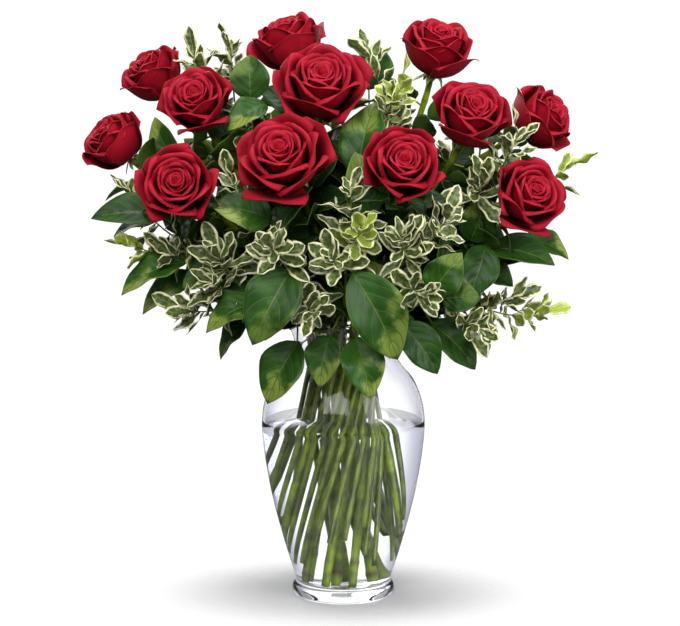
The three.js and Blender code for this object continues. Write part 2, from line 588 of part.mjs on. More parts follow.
// The water fills the vase to its level, with a plain hole for each stem that stands in it.
function water(holes) {
  const inside = insideOutline();
  const shore = inside.findIndex(([, z]) => z >= WATER_LEVEL);
  const [[r0, z0], [r1, z1]] = [inside[shore - 1], inside[shore]];
  const edge = lerp(r0, r1, (WATER_LEVEL - z0) / (z1 - z0));
  const wall = [...inside.slice(0, shore), [edge, WATER_LEVEL]].map(([r, z]) => [r - 2 * CLEARANCE, z]);
  wall[0][1] = FLOOR_Z + CLEARANCE;
  const body = turned([[0, FLOOR_Z + CLEARANCE], ...wall, [0, WATER_LEVEL]], VASE_SIDES);
  return body.subtract(Manifold.union(holes));
}

function hole(curve, radius, sides) {
  const way = curve.neck.clone().sub(curve.foot).normalize();
  const low = curve.foot.clone().addScaledVector(way, -CLEARANCE - 12 * (curve.foot.z < FLOOR_Z + 4));
  const line = new THREE.LineCurve3(low, curve.neck);
  return tube(line, radius + CLEARANCE / Math.cos(Math.PI / sides), sides, 1);
}

const vaseSolid = remember("vase", vase());
add("vase", vaseSolid, "glass");

const calyxSolid = calyx();
for (const rose of ROSES) {
  const scale = rose.size / BLOOM_SIZE;
  rose.face = vec(rose.face).normalize();
  rose.base = vec(rose.centre).addScaledVector(rose.face, -BLOOM_MIDDLE * scale);
  const name = "rose_bloom_" + rose.name;
  add(name, remember("rose_" + rose.name, pose(bloom(rose), rose.base, rose.face, scale)), "petal");
  rose.calyx = pose(calyxSolid, rose.base, rose.face, scale);
  remember("rose_" + rose.name, rose.calyx);
}

const holes = [];
const nodes = []; // { name, kind, parts }
for (const rose of ROSES) {
  const end = rose.base.clone().addScaledVector(rose.face, -3.5 * (rose.size / BLOOM_SIZE));
  const make = (sway, lift) => {
    const curve = new StemCurve(rose.neck, rose.foot, end, rose.face, sway, lift);
    return { curve, solid: tube(curve, ROSE_STEM_RADIUS, ROSE_STEM_SIDES, STEM_STEPS) };
  };
  const stem = settle("rose_" + rose.name, STEM_BENDS, LEAF_CLEARANCE, make, "stem");
  if (!stem) continue;
  nodes.push({ name: "rose_stem_" + rose.name, kind: "stem", parts: [stem.solid, rose.calyx] });
  holes.push(hole(stem.curve, ROSE_STEM_RADIUS, ROSE_STEM_SIDES));
}

function addBranch(kind, row) {
  const name = kind + "_" + row.name;
  const end = vec(row.end);
  const outwards = new THREE.Vector3(end.x, end.y, 0).normalize().add(UP).multiplyScalar(0.7);
  const make = (sway, lift) => {
    const curve = new StemCurve(row.neck, row.foot, end, outwards, sway, lift);
    return { curve, solid: tube(curve, BRANCH_RADIUS, BRANCH_SIDES, STEM_STEPS) };
  };
  const branch = settle(name, STEM_BENDS, LEAF_CLEARANCE, make, "branch");
  if (!branch) return null;
  const node = { name, kind, parts: [branch.solid], curve: branch.curve };
  nodes.push(node);
  holes.push(hole(branch.curve, BRANCH_RADIUS, BRANCH_SIDES));
  return node;
}

for (const row of SALAL) row.node = addBranch("salal", row);
for (const row of PITTOSPORUM) row.node = addBranch("pittosporum", row);

for (const { node, leaves } of SALAL.filter((row) => row.node))
  leaves.forEach((leafRow, i) => {
    const make = (sway, lift) => salalLeaf(node.curve, leafRow, sway, lift);
    const leaf = settle(node.name, LEAF_SWINGS, LEAF_CLEARANCE, make, "leaf " + i);
    if (leaf) node.parts.push(leaf.solid);
  });

PITTOSPORUM.forEach(({ node, sprays }, b) => {
  if (!node) return;
  sprays.forEach((spray, s) => {
    const bow = (sway, lift) => sprayTwig(node.curve, spray, sway, lift);
    const twig = settle(node.name, STEM_BENDS, LEAF_CLEARANCE, bow, "twig " + s);
    if (!twig) return;
    node.parts.push(twig.solid);
    const seed = 10 * b + s + 1;
    for (const k of SPRAY_LEAVES_MADE) {
      const make = (sway, lift) => sprayLeaf(twig.curve, k, seed, sway, lift);
      const leaf = settle(node.name, LEAF_SWINGS, LEAF_CLEARANCE, make, "spray " + s + " leaf " + k);
      if (leaf) node.parts.push(leaf.solid);
    }
  });
});

for (const { name, kind, parts } of nodes) add(name, fuse(parts), kind);
add("water", water(holes), "water");
bouquet.userData.leftOut = leftOut;

export default bouquet;
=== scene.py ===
"""A dozen red roses with salal and variegated pittosporum in a clear glass vase of water.

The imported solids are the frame. Each bloom, stem, branch, the glass and the water is replaced
here by a finer piece of the same form, with the petals and leaves that the solids leave out.
Lengths are in millimetres while a piece is modelled, and its finished mesh is in metres.
"""
import logging
import math
from dataclasses import dataclass, replace
from enum import Enum
from typing import Any, Callable, Iterable, Sequence

import bmesh
import bpy
from mathutils import Matrix, Vector
from mathutils.bvhtree import BVHTree


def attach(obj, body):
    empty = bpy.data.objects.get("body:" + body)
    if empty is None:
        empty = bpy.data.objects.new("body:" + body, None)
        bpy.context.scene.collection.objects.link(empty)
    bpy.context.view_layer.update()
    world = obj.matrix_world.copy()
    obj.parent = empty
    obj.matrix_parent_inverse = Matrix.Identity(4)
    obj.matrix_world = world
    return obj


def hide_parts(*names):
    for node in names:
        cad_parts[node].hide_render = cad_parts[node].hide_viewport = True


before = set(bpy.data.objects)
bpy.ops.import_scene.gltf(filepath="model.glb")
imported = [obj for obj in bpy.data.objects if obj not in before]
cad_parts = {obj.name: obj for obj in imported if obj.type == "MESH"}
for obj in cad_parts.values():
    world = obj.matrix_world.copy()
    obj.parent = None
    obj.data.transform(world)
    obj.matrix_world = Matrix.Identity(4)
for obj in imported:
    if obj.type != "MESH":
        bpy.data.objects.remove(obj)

log = logging.getLogger("bouquet")
logging.basicConfig(level=logging.INFO, format="%(message)s")

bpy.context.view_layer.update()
MM = 0.001
ROOT = "root"
UP = Vector((0, 0, 1))
GOLDEN_ANGLE = math.radians(137.508)
DRAW_RATE, DRAW_START, DRAW_SPREAD = 12.9898, 4.1414, 43758.5453

Colour = tuple[float, float, float]
Place = tuple[float, float, float]
Surface = Callable[[float, float], Vector]


def lerp(a: float, b: float, t: float) -> float:
    """Returns the value a share t of the way from a to b."""
    return a + (b - a) * t


def draw(seed: float) -> float:
    """Returns a repeatable draw from 0 to 1 for a seed."""
    x = math.sin(seed * DRAW_RATE + DRAW_START) * DRAW_SPREAD
    return x - math.floor(x)


def flat(angle: float, radius: float, z: float) -> Vector:
    """Returns the point at an angle in radians and a radius round the vase's axis."""
    return Vector((radius * math.cos(angle), radius * math.sin(angle), z))


def outwards(place: Vector) -> Vector:
    """Returns the level direction from the vase's axis to a place."""
    return Vector((place.x, place.y, 0)).normalized()


# ---- Shader building --------------------------------------------------------------------


class Num:
    """A number socket of a shader that Python's operators work on."""

    def __init__(self, shader: "Shader", socket: bpy.types.NodeSocket) -> None:
        """Wraps one output socket of a shader."""
        self.shader = shader
        self.socket = socket

    def __add__(self, other: Any) -> "Num":
        """Adds."""
        return self.shader.math("ADD", self, other)

    __radd__ = __add__

    def __sub__(self, other: Any) -> "Num":
        """Subtracts."""
        return self.shader.math("SUBTRACT", self, other)

    def __rsub__(self, other: Any) -> "Num":
        """Subtracts from a number."""
        return self.shader.math("SUBTRACT", other, self)

    def __mul__(self, other: Any) -> "Num":
        """Multiplies."""
        return self.shader.math("MULTIPLY", self, other)

    __rmul__ = __mul__

    def __truediv__(self, other: Any) -> "Num":
        """Divides."""
        return self.shader.math("DIVIDE", self, other)

    def __pow__(self, other: Any) -> "Num":
        """Raises to a power."""
        return self.shader.math("POWER", self, other)

    def sine(self) -> "Num":
        """Returns the sine."""
        return self.shader.math("SINE", self)

    def size(self) -> "Num":
        """Returns the absolute value."""
        return self.shader.math("ABSOLUTE", self)

    def rise(self, low: float, high: float) -> "Num":
        """Steps smoothly from 0 to 1.

        Args:
            low: The number at which the step leaves 0.
            high: The number at which it reaches 1.

        Returns:
            The height of the step at this number.
        """
        made = self.shader.node(
            "ShaderNodeMapRange",
            {"interpolation_type": "SMOOTHSTEP"},
            {"Value": self, "From Min": low, "From Max": high},
        )
        return Num(self.shader, made.outputs["Result"])


class Shader:
    """Builds the nodes of one material or of the world."""

    def __init__(self, tree: bpy.types.NodeTree) -> None:
        """Starts on an emptied node tree."""
        self.tree = tree
        tree.nodes.clear()

    @classmethod
    def material(cls, name: str) -> tuple[bpy.types.Material, "Shader"]:
        """Makes a new material.

        Args:
            name: Its name.

        Returns:
            The material and its shader.
        """
        made = bpy.data.materials.new(name)
        made.use_nodes = True
        return made, cls(made.node_tree)

    def node(
        self,
        kind: str,
        settings: dict[str, Any] | None = None,
        inputs: dict[str | int, Any] | None = None,
    ) -> bpy.types.Node:
        """Adds a node.

        Args:
            kind: Blender's type of the node.
            settings: Its own settings; stops gives a ramp's positions and colours.
            inputs: Values or links of its sockets, by name or number.

        Returns:
            The new node.
        """
        made = self.tree.nodes.new(kind)
        for key, value in (settings or {}).items():
            if key == "stops":
                self._stops(made.color_ramp, value)
            else:
                setattr(made, key, value)
        for key, value in (inputs or {}).items():
            self._feed(made.inputs[key], value)
        return made

    def _stops(self, ramp: bpy.types.ColorRamp, stops: Sequence[tuple[float, Colour]]) -> None:
        """Sets the stops of a colour ramp.

        Args:
            ramp: The ramp.
            stops: The position and the colour of each stop.
        """
        while len(ramp.elements) > 1:
            ramp.elements.remove(ramp.elements[-1])
        ramp.elements[0].position = stops[0][0]
        ramp.elements[0].color = (*stops[0][1], 1)
        for position, colour in stops[1:]:
            ramp.elements.new(position).color = (*colour, 1)

    def _feed(self, socket: bpy.types.NodeSocket, value: Any) -> None:
        """Links a value to a socket or sets the socket to it.

        Args:
            socket: The input socket.
            value: A number, a colour, a socket or a wrapped socket.
        """
        if isinstance(value, Num):
            value = value.socket
        if isinstance(value, bpy.types.NodeSocket):
            self.tree.links.new(value, socket)
        elif isinstance(value, tuple) and socket.type == "RGBA":
            socket.default_value = (*value, 1) if len(value) == 3 else value
        else:
            socket.default_value = value

    def math(self, operation: str, *values: Any) -> Num:
        """Adds a Math node on one to three values."""
        made = self.node("ShaderNodeMath", {"operation": operation}, dict(enumerate(values)))
        return Num(self, made.outputs[0])

    def mix(self, low: Any, high: Any, share: Any) -> bpy.types.NodeSocket:
        """Mixes two colours by a share."""
        inputs = {0: share, 6: low, 7: high}
        return self.node("ShaderNodeMix", {"data_type": "RGBA"}, inputs).outputs[2]

    def ramp(self, value: Any, stops: Sequence[tuple[float, Colour]]) -> bpy.types.NodeSocket:
        """Returns the colour of a ramp at a value."""
        return self.node("ShaderNodeValToRGB", {"stops": stops}, {0: value}).outputs[0]

    def uv(self) -> tuple[Num, Num]:
        """Reads the piece's UV map.

        Returns:
            Its two numbers, across and along each sheet.
        """
        place = self.node("ShaderNodeUVMap", {"uv_map": "UVMap"}).outputs[0]
        split = self.node("ShaderNodeSeparateXYZ", None, {0: place})
        return Num(self, split.outputs[0]), Num(self, split.outputs[1])

    def spot(self, x: Any, y: Any, z: Any = 0.0) -> bpy.types.NodeSocket:
        """Joins three numbers to a place for a texture."""
        return self.node("ShaderNodeCombineXYZ", None, {0: x, 1: y, 2: z}).outputs[0]

    def own(self) -> bpy.types.NodeSocket:
        """Returns the place on the object, in metres."""
        return self.node("ShaderNodeTexCoord").outputs["Object"]

    def noise(self, place: Any, scale: float, detail: float = 2.0) -> Num:
        """Returns a noise from 0 to 1 at a place."""
        inputs = {"Vector": place, "Scale": scale, "Detail": detail}
        return Num(self, self.node("ShaderNodeTexNoise", None, inputs).outputs["Fac"])

    def attribute(self, name: str) -> Num:
        """Returns a number that the piece's mesh carries."""
        return Num(self, self.node("ShaderNodeAttribute", {"attribute_name": name}).outputs["Fac"])

    def slant(self) -> Num:
        """Returns 0 where the surface is seen squarely, rising to 1 where it is seen edge on."""
        return Num(self, self.node("ShaderNodeLayerWeight", None, {"Blend": 0.5}).outputs["Facing"])

    def bump(self, height: Num, distance: float, strength: float = 1.0) -> bpy.types.NodeSocket:
        """Returns the normal of a surface with a height in units of distance, in metres."""
        inputs = {"Height": height, "Distance": distance, "Strength": strength}
        return self.node("ShaderNodeBump", None, inputs).outputs[0]

    def finish(self, shader_socket: bpy.types.NodeSocket) -> None:
        """Links the surface to the output."""
        self.node("ShaderNodeOutputMaterial", None, {"Surface": shader_socket})

    def principled(self, **sockets: Any) -> bpy.types.NodeSocket:
        """Adds a Principled shader; an underscore in a name stands for a space."""
        named = {key.replace("_", " "): value for key, value in sockets.items()}
        return self.node("ShaderNodeBsdfPrincipled", None, named).outputs[0]


# ---- Finishes ---------------------------------------------------------------------------


@dataclass(frozen=True)
class PetalFinish:
    """Velvety rose petals, darker along fine veins and at the heart, partly as painted shade, with
    painted highlights on the rims and a painted glow of light through them.
    """

    name: str
    # The heart colour is partly the petal's own darker base and partly painted shade deep in the
    # cup.
    heart: Colour
    body: Colour
    # The rim colour is the rim's magenta hue with a painted highlight, brightest where the rim
    # rolls back.
    rim: Colour
    # This colour is a painted glow of light shining through the petal, laid in random patches.
    translucent_glow: Colour

    roughness = 0.55
    cloud_scale = 90
    veins_across = 26
    veins_along = 2.2
    nap_scale = 900
    nap_depth = 0.0003

    def material(self) -> bpy.types.Material:
        """Builds the shader of the finish.

        Returns:
            The material.
        """
        made, shader = Shader.material(self.name)
        across, along = shader.uv()
        tone = shader.attribute("tone")
        cloud = shader.noise(shader.own(), self.cloud_scale, 3)
        place = shader.spot(across * self.veins_across, along * self.veins_along, tone * 40)
        veins = shader.noise(place, 1.0, 3)
        # Along the petal: the heart colour low down, partly painted shade in the cup, then a band
        # of the rim colour, the rim's hue with a painted highlight where it rolls back.
        stops = [(0.3, self.heart), (0.62, self.body), (0.86, self.rim), (1.0, self.body)]
        colour = shader.ramp(along + (cloud - 0.5) * 0.16, stops)
        colour = shader.mix(colour, self.heart, veins.rise(0.5, 0.8) * 0.22 + tone * 0.2)
        # Painted glow of light shining through the petal, in random patches.
        colour = shader.mix(colour, self.translucent_glow, cloud.rise(0.5, 0.7) * tone * 0.6)
        height = veins * 0.6 + shader.noise(shader.own(), self.nap_scale, 2) * 0.4
        shader.finish(
            shader.principled(
                Base_Color=colour,
                Roughness=self.roughness + (cloud - 0.5) * 0.25,
                Normal=shader.bump(height, self.nap_depth, 0.5),
                Sheen_Weight=0.05,
                Sheen_Roughness=0.4,
                Sheen_Tint=(1.0, 0.2, 0.4),
                Specular_IOR_Level=0.09,
            )
        )
        return made


@dataclass(frozen=True)
class SalalFinish:
    """Leathery leaves with a pale midrib, side veins and painted patches of light."""

    name: str
    dark: Colour
    light: Colour
    # The vein colour also serves for the painted patches of light.
    vein_and_lit_patch: Colour
    roughness: float
    coat: float

    patch_scale = 55
    side_veins = 5.5
    vein_sweep = 2.0
    grain_scale = 700
    relief = 0.0008

    def material(self) -> bpy.types.Material:
        """Builds the shader of the finish.

        Returns:
            The material.
        """
        made, shader = Shader.material(self.name)
        across, along = shader.uv()
        tone = shader.attribute("tone")
        side = (across - 0.5).size() * 2
        patches = shader.noise(shader.own(), self.patch_scale, 3)
        midrib = 1 - side.rise(0.012, 0.05)
        vein_place = along * self.side_veins - side**1.4 * self.vein_sweep + (patches - 0.5) * 0.5
        wave = (vein_place * (2 * math.pi)).sine()
        branches = wave.rise(0.88, 1.0) * (1 - side.rise(0.75, 1.0))
        ribs = (midrib + branches * 0.4).rise(0.0, 1.0)
        colour = shader.mix(self.dark, self.light, patches.rise(0.35, 0.65) * 0.45 + tone * 0.6)
        # Painted light: bright yellow-green patches towards the tip and one side of the lighter
        # leaves.
        painted_light_patch = (along + across * 0.5 + (patches - 0.5) * 1.6).rise(0.8, 1.15)
        painted_light_patch = painted_light_patch * (1 - midrib) * (1.15 - branches)
        colour = shader.mix(colour, self.vein_and_lit_patch, painted_light_patch * tone.rise(0.05, 0.7) * 0.85)
        colour = shader.mix(colour, self.vein_and_lit_patch, ribs * 0.3 + side.rise(0.94, 1.0) * 0.25)
        grain = shader.noise(shader.own(), self.grain_scale, 2)
        height = grain * 0.1 - ribs * 0.6 - wave * (1 - side) * 0.3
        shader.finish(
            shader.principled(
                Base_Color=colour,
                Roughness=self.roughness + (patches - 0.5) * 0.25,
                Normal=shader.bump(height, self.relief, 0.7),
                Coat_Weight=self.coat,
                Coat_Roughness=0.2,
                Specular_IOR_Level=0.26,
            )
        )
        return made


@dataclass(frozen=True)
class VariegatedFinish:
    """Small grey-green leaves with uneven cream margins; the youngest are lime green."""

    name: str
    dark: Colour
    grey: Colour
    cream: Colour
    lime: Colour

    roughness = 0.38
    blotch_scale = 260
    relief = 0.0004

    def material(self) -> bpy.types.Material:
        """Builds the shader of the finish.

        Returns:
            The material.
        """
        made, shader = Shader.material(self.name)
        across, along = shader.uv()
        young = shader.attribute("young")
        tone = shader.attribute("tone")
        side = (across - 0.5).size() * 2
        blotch = shader.noise(shader.own(), self.blotch_scale, 3)
        edge = side + (blotch - 0.5) * 0.6 + along.rise(0.8, 1.0) * 0.3
        margin = edge.rise(0.6, 0.76)
        middle = shader.mix(self.dark, self.grey, blotch.rise(0.45, 0.62) * 0.8 + tone * 0.2)
        middle = shader.mix(middle, self.lime, young * 0.85)
        pale = shader.mix(self.cream, self.lime, young * 0.55)
        midrib = 1 - side.rise(0.03, 0.12)
        colour = shader.mix(shader.mix(middle, pale, margin), self.grey, midrib * 0.5)
        shader.finish(
            shader.principled(
                Base_Color=colour,
                Roughness=self.roughness,
                Normal=shader.bump(1 - midrib, self.relief, 0.6),
                Specular_IOR_Level=0.5,
            )
        )
        return made


@dataclass(frozen=True)
class StemFinish:
    """Waxy green stems, mottled, with darker reddish scars at their nodes."""

    name: str
    green: Colour
    olive: Colour
    scar: Colour

    roughness = 0.36
    mottle_scale = 60
    grain_across = 14
    grain_along = 30
    relief = 0.0004

    def material(self) -> bpy.types.Material:
        """Builds the shader of the finish.

        Returns:
            The material.
        """
        made, shader = Shader.material(self.name)
        across, along = shader.uv()
        mottle = shader.noise(shader.own(), self.mottle_scale, 4)
        place = shader.spot(across * self.grain_across, along * self.grain_along)
        grain = shader.noise(place, 1.0, 3)
        mark = shader.attribute("mark")
        colour = shader.mix(self.green, self.olive, mottle.rise(0.35, 0.65))
        colour = shader.mix(colour, self.olive, grain.rise(0.45, 0.75) * 0.65)
        colour = shader.mix(colour, self.scar, mark)
        shader.finish(
            shader.principled(
                Base_Color=colour,
                Roughness=self.roughness,
                Normal=shader.bump(grain, self.relief, 0.4),
                Specular_IOR_Level=0.45,
            )
        )
        return made


@dataclass(frozen=True)
class ClearFinish:
    """Glass or water that lets the lamps' light through, with painted shade, darker and lilac,
    where it is seen edge on.
    """

    name: str
    colour: Colour
    # The edge colour is painted shade that the glass takes where it is seen edge on.
    edge: Colour
    refraction: float
    shade: Colour
    mirror: float

    def material(self) -> bpy.types.Material:
        """Builds the shader of the finish.

        Returns:
            The material.
        """
        made, shader = Shader.material(self.name)
        body = shader.principled(
            Base_Color=shader.mix(self.colour, self.edge, shader.slant().rise(0.2, 0.85)),
            Roughness=0.0,
            IOR=self.refraction,
            Transmission_Weight=1.0,
            Specular_Tint=(self.mirror,) * 3,
        )
        clear = shader.node("ShaderNodeBsdfTransparent", None, {"Color": self.shade}).outputs[0]
        shadow = shader.node("ShaderNodeLightPath").outputs["Is Shadow Ray"]
        both = shader.node("ShaderNodeMixShader", None, {0: shadow, 1: body, 2: clear})
        shader.finish(both.outputs[0])
        return made


@dataclass(frozen=True)
class FloorFinish:
    """A pale floor that fades into the white round it."""

    name: str
    colour: Colour
    fade_from: float
    fade_to: float

    roughness = 0.6
    stretch = (1.0, 1.5, 1.0)

    def material(self) -> bpy.types.Material:
        """Builds the shader of the finish.

        Returns:
            The material.
        """
        made, shader = Shader.material(self.name)
        kind = "ShaderNodeVectorMath"
        inputs = {0: shader.own(), 1: self.stretch}
        place = shader.node(kind, {"operation": "MULTIPLY"}, inputs).outputs[0]
        away = shader.node(kind, {"operation": "LENGTH"}, {0: place}).outputs["Value"]
        seen = 1 - Num(shader, away).rise(self.fade_from, self.fade_to)
        shader.finish(
            shader.principled(
                Base_Color=self.colour,
                Roughness=self.roughness,
                Alpha=seen,
                Specular_IOR_Level=0.2,
            )
        )
        return made


class Finish(Enum):
    """Every finish of the bouquet."""

    PETAL = PetalFinish(
        "petal_velvet",
        heart=(0.08, 0.002, 0.003),
        body=(0.33, 0.006, 0.013),
        rim=(0.43, 0.012, 0.036),
        translucent_glow=(0.43, 0.016, 0.01),
    )
    # The backs are painted lighter than the fronts, most of all at the heart, as painted light for
    # the shade they lie in.
    PETAL_BACK = PetalFinish(
        "petal_back",
        heart=(0.2, 0.003, 0.01),
        body=(0.38, 0.006, 0.02),
        rim=(0.44, 0.012, 0.032),
        translucent_glow=(0.4, 0.012, 0.01),
    )
    SALAL = SalalFinish(
        "salal_upper",
        dark=(0.01, 0.042, 0.005),
        light=(0.035, 0.125, 0.01),
        vein_and_lit_patch=(0.26, 0.34, 0.06),
        roughness=0.45,
        coat=0.03,
    )
    SALAL_BACK = SalalFinish(
        "salal_underside",
        dark=(0.07, 0.14, 0.02),
        light=(0.15, 0.23, 0.04),
        vein_and_lit_patch=(0.22, 0.3, 0.08),
        roughness=0.5,
        coat=0.0,
    )
    VARIEGATED = VariegatedFinish(
        "pittosporum_leaf",
        dark=(0.038, 0.066, 0.015),
        grey=(0.18, 0.235, 0.06),
        cream=(0.84, 0.83, 0.5),
        lime=(0.45, 0.58, 0.05),
    )
    ROSE_STEM = StemFinish(
        "rose_stem_bark",
        green=(0.28, 0.39, 0.012),
        olive=(0.08, 0.13, 0.008),
        scar=(0.07, 0.025, 0.012),
    )
    HIP = StemFinish(
        "rose_hip_green",
        green=(0.2, 0.3, 0.07),
        olive=(0.3, 0.38, 0.12),
        scar=(0.16, 0.12, 0.05),
    )
    TWIG = StemFinish(
        "twig_bark",
        green=(0.19, 0.26, 0.013),
        olive=(0.058, 0.08, 0.01),
        scar=(0.05, 0.03, 0.02),
    )
    GLASS = ClearFinish(
        "vase_glass",
        colour=(0.97, 0.975, 0.985),
        edge=(0.66, 0.66, 0.75),
        refraction=1.45,
        shade=(0.66, 0.67, 0.7),
        mirror=0.4,
    )
    WATER = ClearFinish(
        "vase_water",
        colour=(0.985, 0.992, 0.995),
        edge=(0.985, 0.992, 0.995),
        refraction=1.333,
        shade=(0.95, 0.96, 0.97),
        mirror=0.05,
    )
    FLOOR = FloorFinish("pale_floor", (0.56, 0.56, 0.56), fade_from=0.05, fade_to=0.2)

    def made(self) -> bpy.types.Material:
        """Returns the finish's material, making it once."""
        return bpy.data.materials.get(self.value.name) or self.value.material()


# ---- Meshes -----------------------------------------------------------------------------


class Piece:
    """A mesh under construction, in millimetres, that becomes one object."""

    sheet_merge = 0.02
    tube_merge = 0.001
    turned_merge = 0.005

    def __init__(self, name: str) -> None:
        """Starts an empty mesh with a UV map and three numbers for each vertex.

        Args:
            name: The name of the object that it becomes.
        """
        self.name = name
        self.bm = bmesh.new()
        self.uv = self.bm.loops.layers.uv.new("UVMap")
        layers = self.bm.verts.layers.float
        self.numbers = {key: layers.new(key) for key in ("tone", "young", "mark")}

    def _grid(self, columns: int, rows: int) -> dict[bmesh.types.BMVert, tuple[float, float]]:
        """Adds a flat grid that is then bent to shape.

        Args:
            columns: Faces across.
            rows: Faces along.

        Returns:
            The two shares of each vertex, across and along.
        """
        made = bmesh.ops.create_grid(self.bm, x_segments=columns, y_segments=rows, size=1.0)
        return {vert: ((vert.co.x + 1) / 2, (vert.co.y + 1) / 2) for vert in made["verts"]}

    def _map(self, places: dict[bmesh.types.BMVert, tuple[float, float]]) -> None:
        """Sets the UV map of a new grid.

        Args:
            places: The place of each vertex in the map.
        """
        for face in {face for vert in places for face in vert.link_faces}:
            for loop in face.loops:
                loop[self.uv].uv = places[loop.vert]

    def sheet(
        self, surface: Surface, columns: int, rows: int, tone: float = 0.5, young: float = 0.0
    ) -> None:
        """Adds an open sheet over a surface.

        Args:
            surface: Gives the point at u from -1 to 1 and v from 0 to 1.
            columns: Faces across.
            rows: Faces along.
            tone: This sheet's own number for its colour.
            young: How far this sheet has the colour of new growth.
        """
        spots = self._grid(columns, rows)
        self._map(spots)
        for vert, (_, v) in spots.items():
            vert.co = surface(vert.co.x, v)
            vert[self.numbers["tone"]] = tone
            vert[self.numbers["young"]] = young
        bmesh.ops.remove_doubles(self.bm, verts=list(spots), dist=self.sheet_merge)

    def tube(
        self,
        path: Sequence[Vector],
        radius: Callable[[float], float],
        sides: int,
        mark: Callable[[float], float] = lambda share: 0.0,
    ) -> None:
        """Adds a closed tube along a path.

        Args:
            path: Points of its axis.
            radius: Its radius at a share of the path.
            sides: Faces round it.
            mark: How dark its bark is at a share of the path.
        """
        last = len(path) - 1
        frames = list(rings_along(path))
        lengths = [0.0]
        for a, b in zip(path, path[1:]):
            lengths.append(lengths[-1] + (b - a).length)
        shares = self._grid(sides, last)
        spots = {vert: (round(u * sides), round(v * last)) for vert, (u, v) in shares.items()}
        self._map({vert: (i / sides, lengths[j] * MM) for vert, (i, j) in spots.items()})
        for vert, (i, j) in spots.items():
            side, up = frames[j]
            angle = 2 * math.pi * (i % sides) / sides
            vert.co = path[j] + (side * math.cos(angle) + up * math.sin(angle)) * radius(j / last)
            vert[self.numbers["mark"]] = mark(j / last)
            vert[self.numbers["tone"]] = 0.5
        bmesh.ops.remove_doubles(self.bm, verts=list(spots), dist=self.tube_merge)
        kept = [vert for vert in spots if vert.is_valid]
        rims = {edge for vert in kept for edge in vert.link_edges if edge.is_boundary}
        bmesh.ops.holes_fill(self.bm, edges=list(rims), sides=0)

    def turned(self, outline: Sequence[tuple[float, float]], sides: int) -> None:
        """Adds a closed shape turned about Z.

        Args:
            outline: The radius and height of points from the axis back to the axis.
            sides: Faces round it.
        """
        verts = [self.bm.verts.new((r, 0, z)) for r, z in outline]
        edges = [self.bm.edges.new(pair) for pair in zip(verts, verts[1:])]
        bmesh.ops.spin(
            self.bm,
            geom=verts + edges,
            cent=(0, 0, 0),
            axis=(0, 0, 1),
            angle=2 * math.pi,
            steps=sides,
            use_merge=True,
        )
        bmesh.ops.remove_doubles(self.bm, verts=self.bm.verts[:], dist=self.turned_merge)
        bmesh.ops.recalc_face_normals(self.bm, faces=self.bm.faces[:])

    def pose(self, matrix: Matrix) -> None:
        """Moves everything made so far."""
        bmesh.ops.transform(self.bm, matrix=matrix, verts=self.bm.verts[:])

    def finish(
        self,
        finishes: Sequence[Finish],
        slot: str,
        nodes: Iterable[str],
        thickness: float = 0.0,
        turn_out: bool = False,
    ) -> bpy.types.Object:
        """Turns the mesh into an object that stands for CAD nodes.

        Args:
            finishes: The finish of the mesh and, for sheets, of their other side.
            slot: A material slot's name; not used.
            nodes: CAD nodes that the piece stands for.
            thickness: Thickness that open sheets get.
            turn_out: Whether the faces still have to be turned outwards.

        Returns:
            The object.
        """
        if turn_out:
            bmesh.ops.recalc_face_normals(self.bm, faces=self.bm.faces[:])
        for face in self.bm.faces:
            face.smooth = True
        bmesh.ops.scale(self.bm, vec=(MM, MM, MM), verts=self.bm.verts[:])
        mesh = bpy.data.meshes.new(self.name)
        self.bm.to_mesh(mesh)
        self.bm.free()
        made = bpy.data.objects.new(self.name, mesh)
        bpy.context.scene.collection.objects.link(made)
        for finish in finishes:
            mesh.materials.append(finish.made())
        if thickness:
            solidify = made.modifiers.new("thickness", "SOLIDIFY")
            solidify.thickness = thickness * MM
            solidify.offset = 0
            solidify.material_offset = len(finishes) - 1
            solidify.material_offset_rim = 0
        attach(made, ROOT)
        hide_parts(*nodes)
        log.info("%s: %d faces", self.name, len(mesh.polygons))
        return made


def rings_along(path: Sequence[Vector]) -> Iterable[tuple[Vector, Vector]]:
    """Carries two directions across a path along it, so that they turn as little as they can.

    Args:
        path: The points of the path.

    Yields:
        The two directions at each of its points.
    """
    across = None
    last = len(path) - 1
    for i in range(last + 1):
        way = (path[min(i + 1, last)] - path[max(i - 1, 0)]).normalized()
        if across is None:
            across = way.orthogonal()
        across = (across - way * across.dot(way)).normalized()
        yield across, way.cross(across)


# ---- Where the frame's pieces lie -------------------------------------------------------


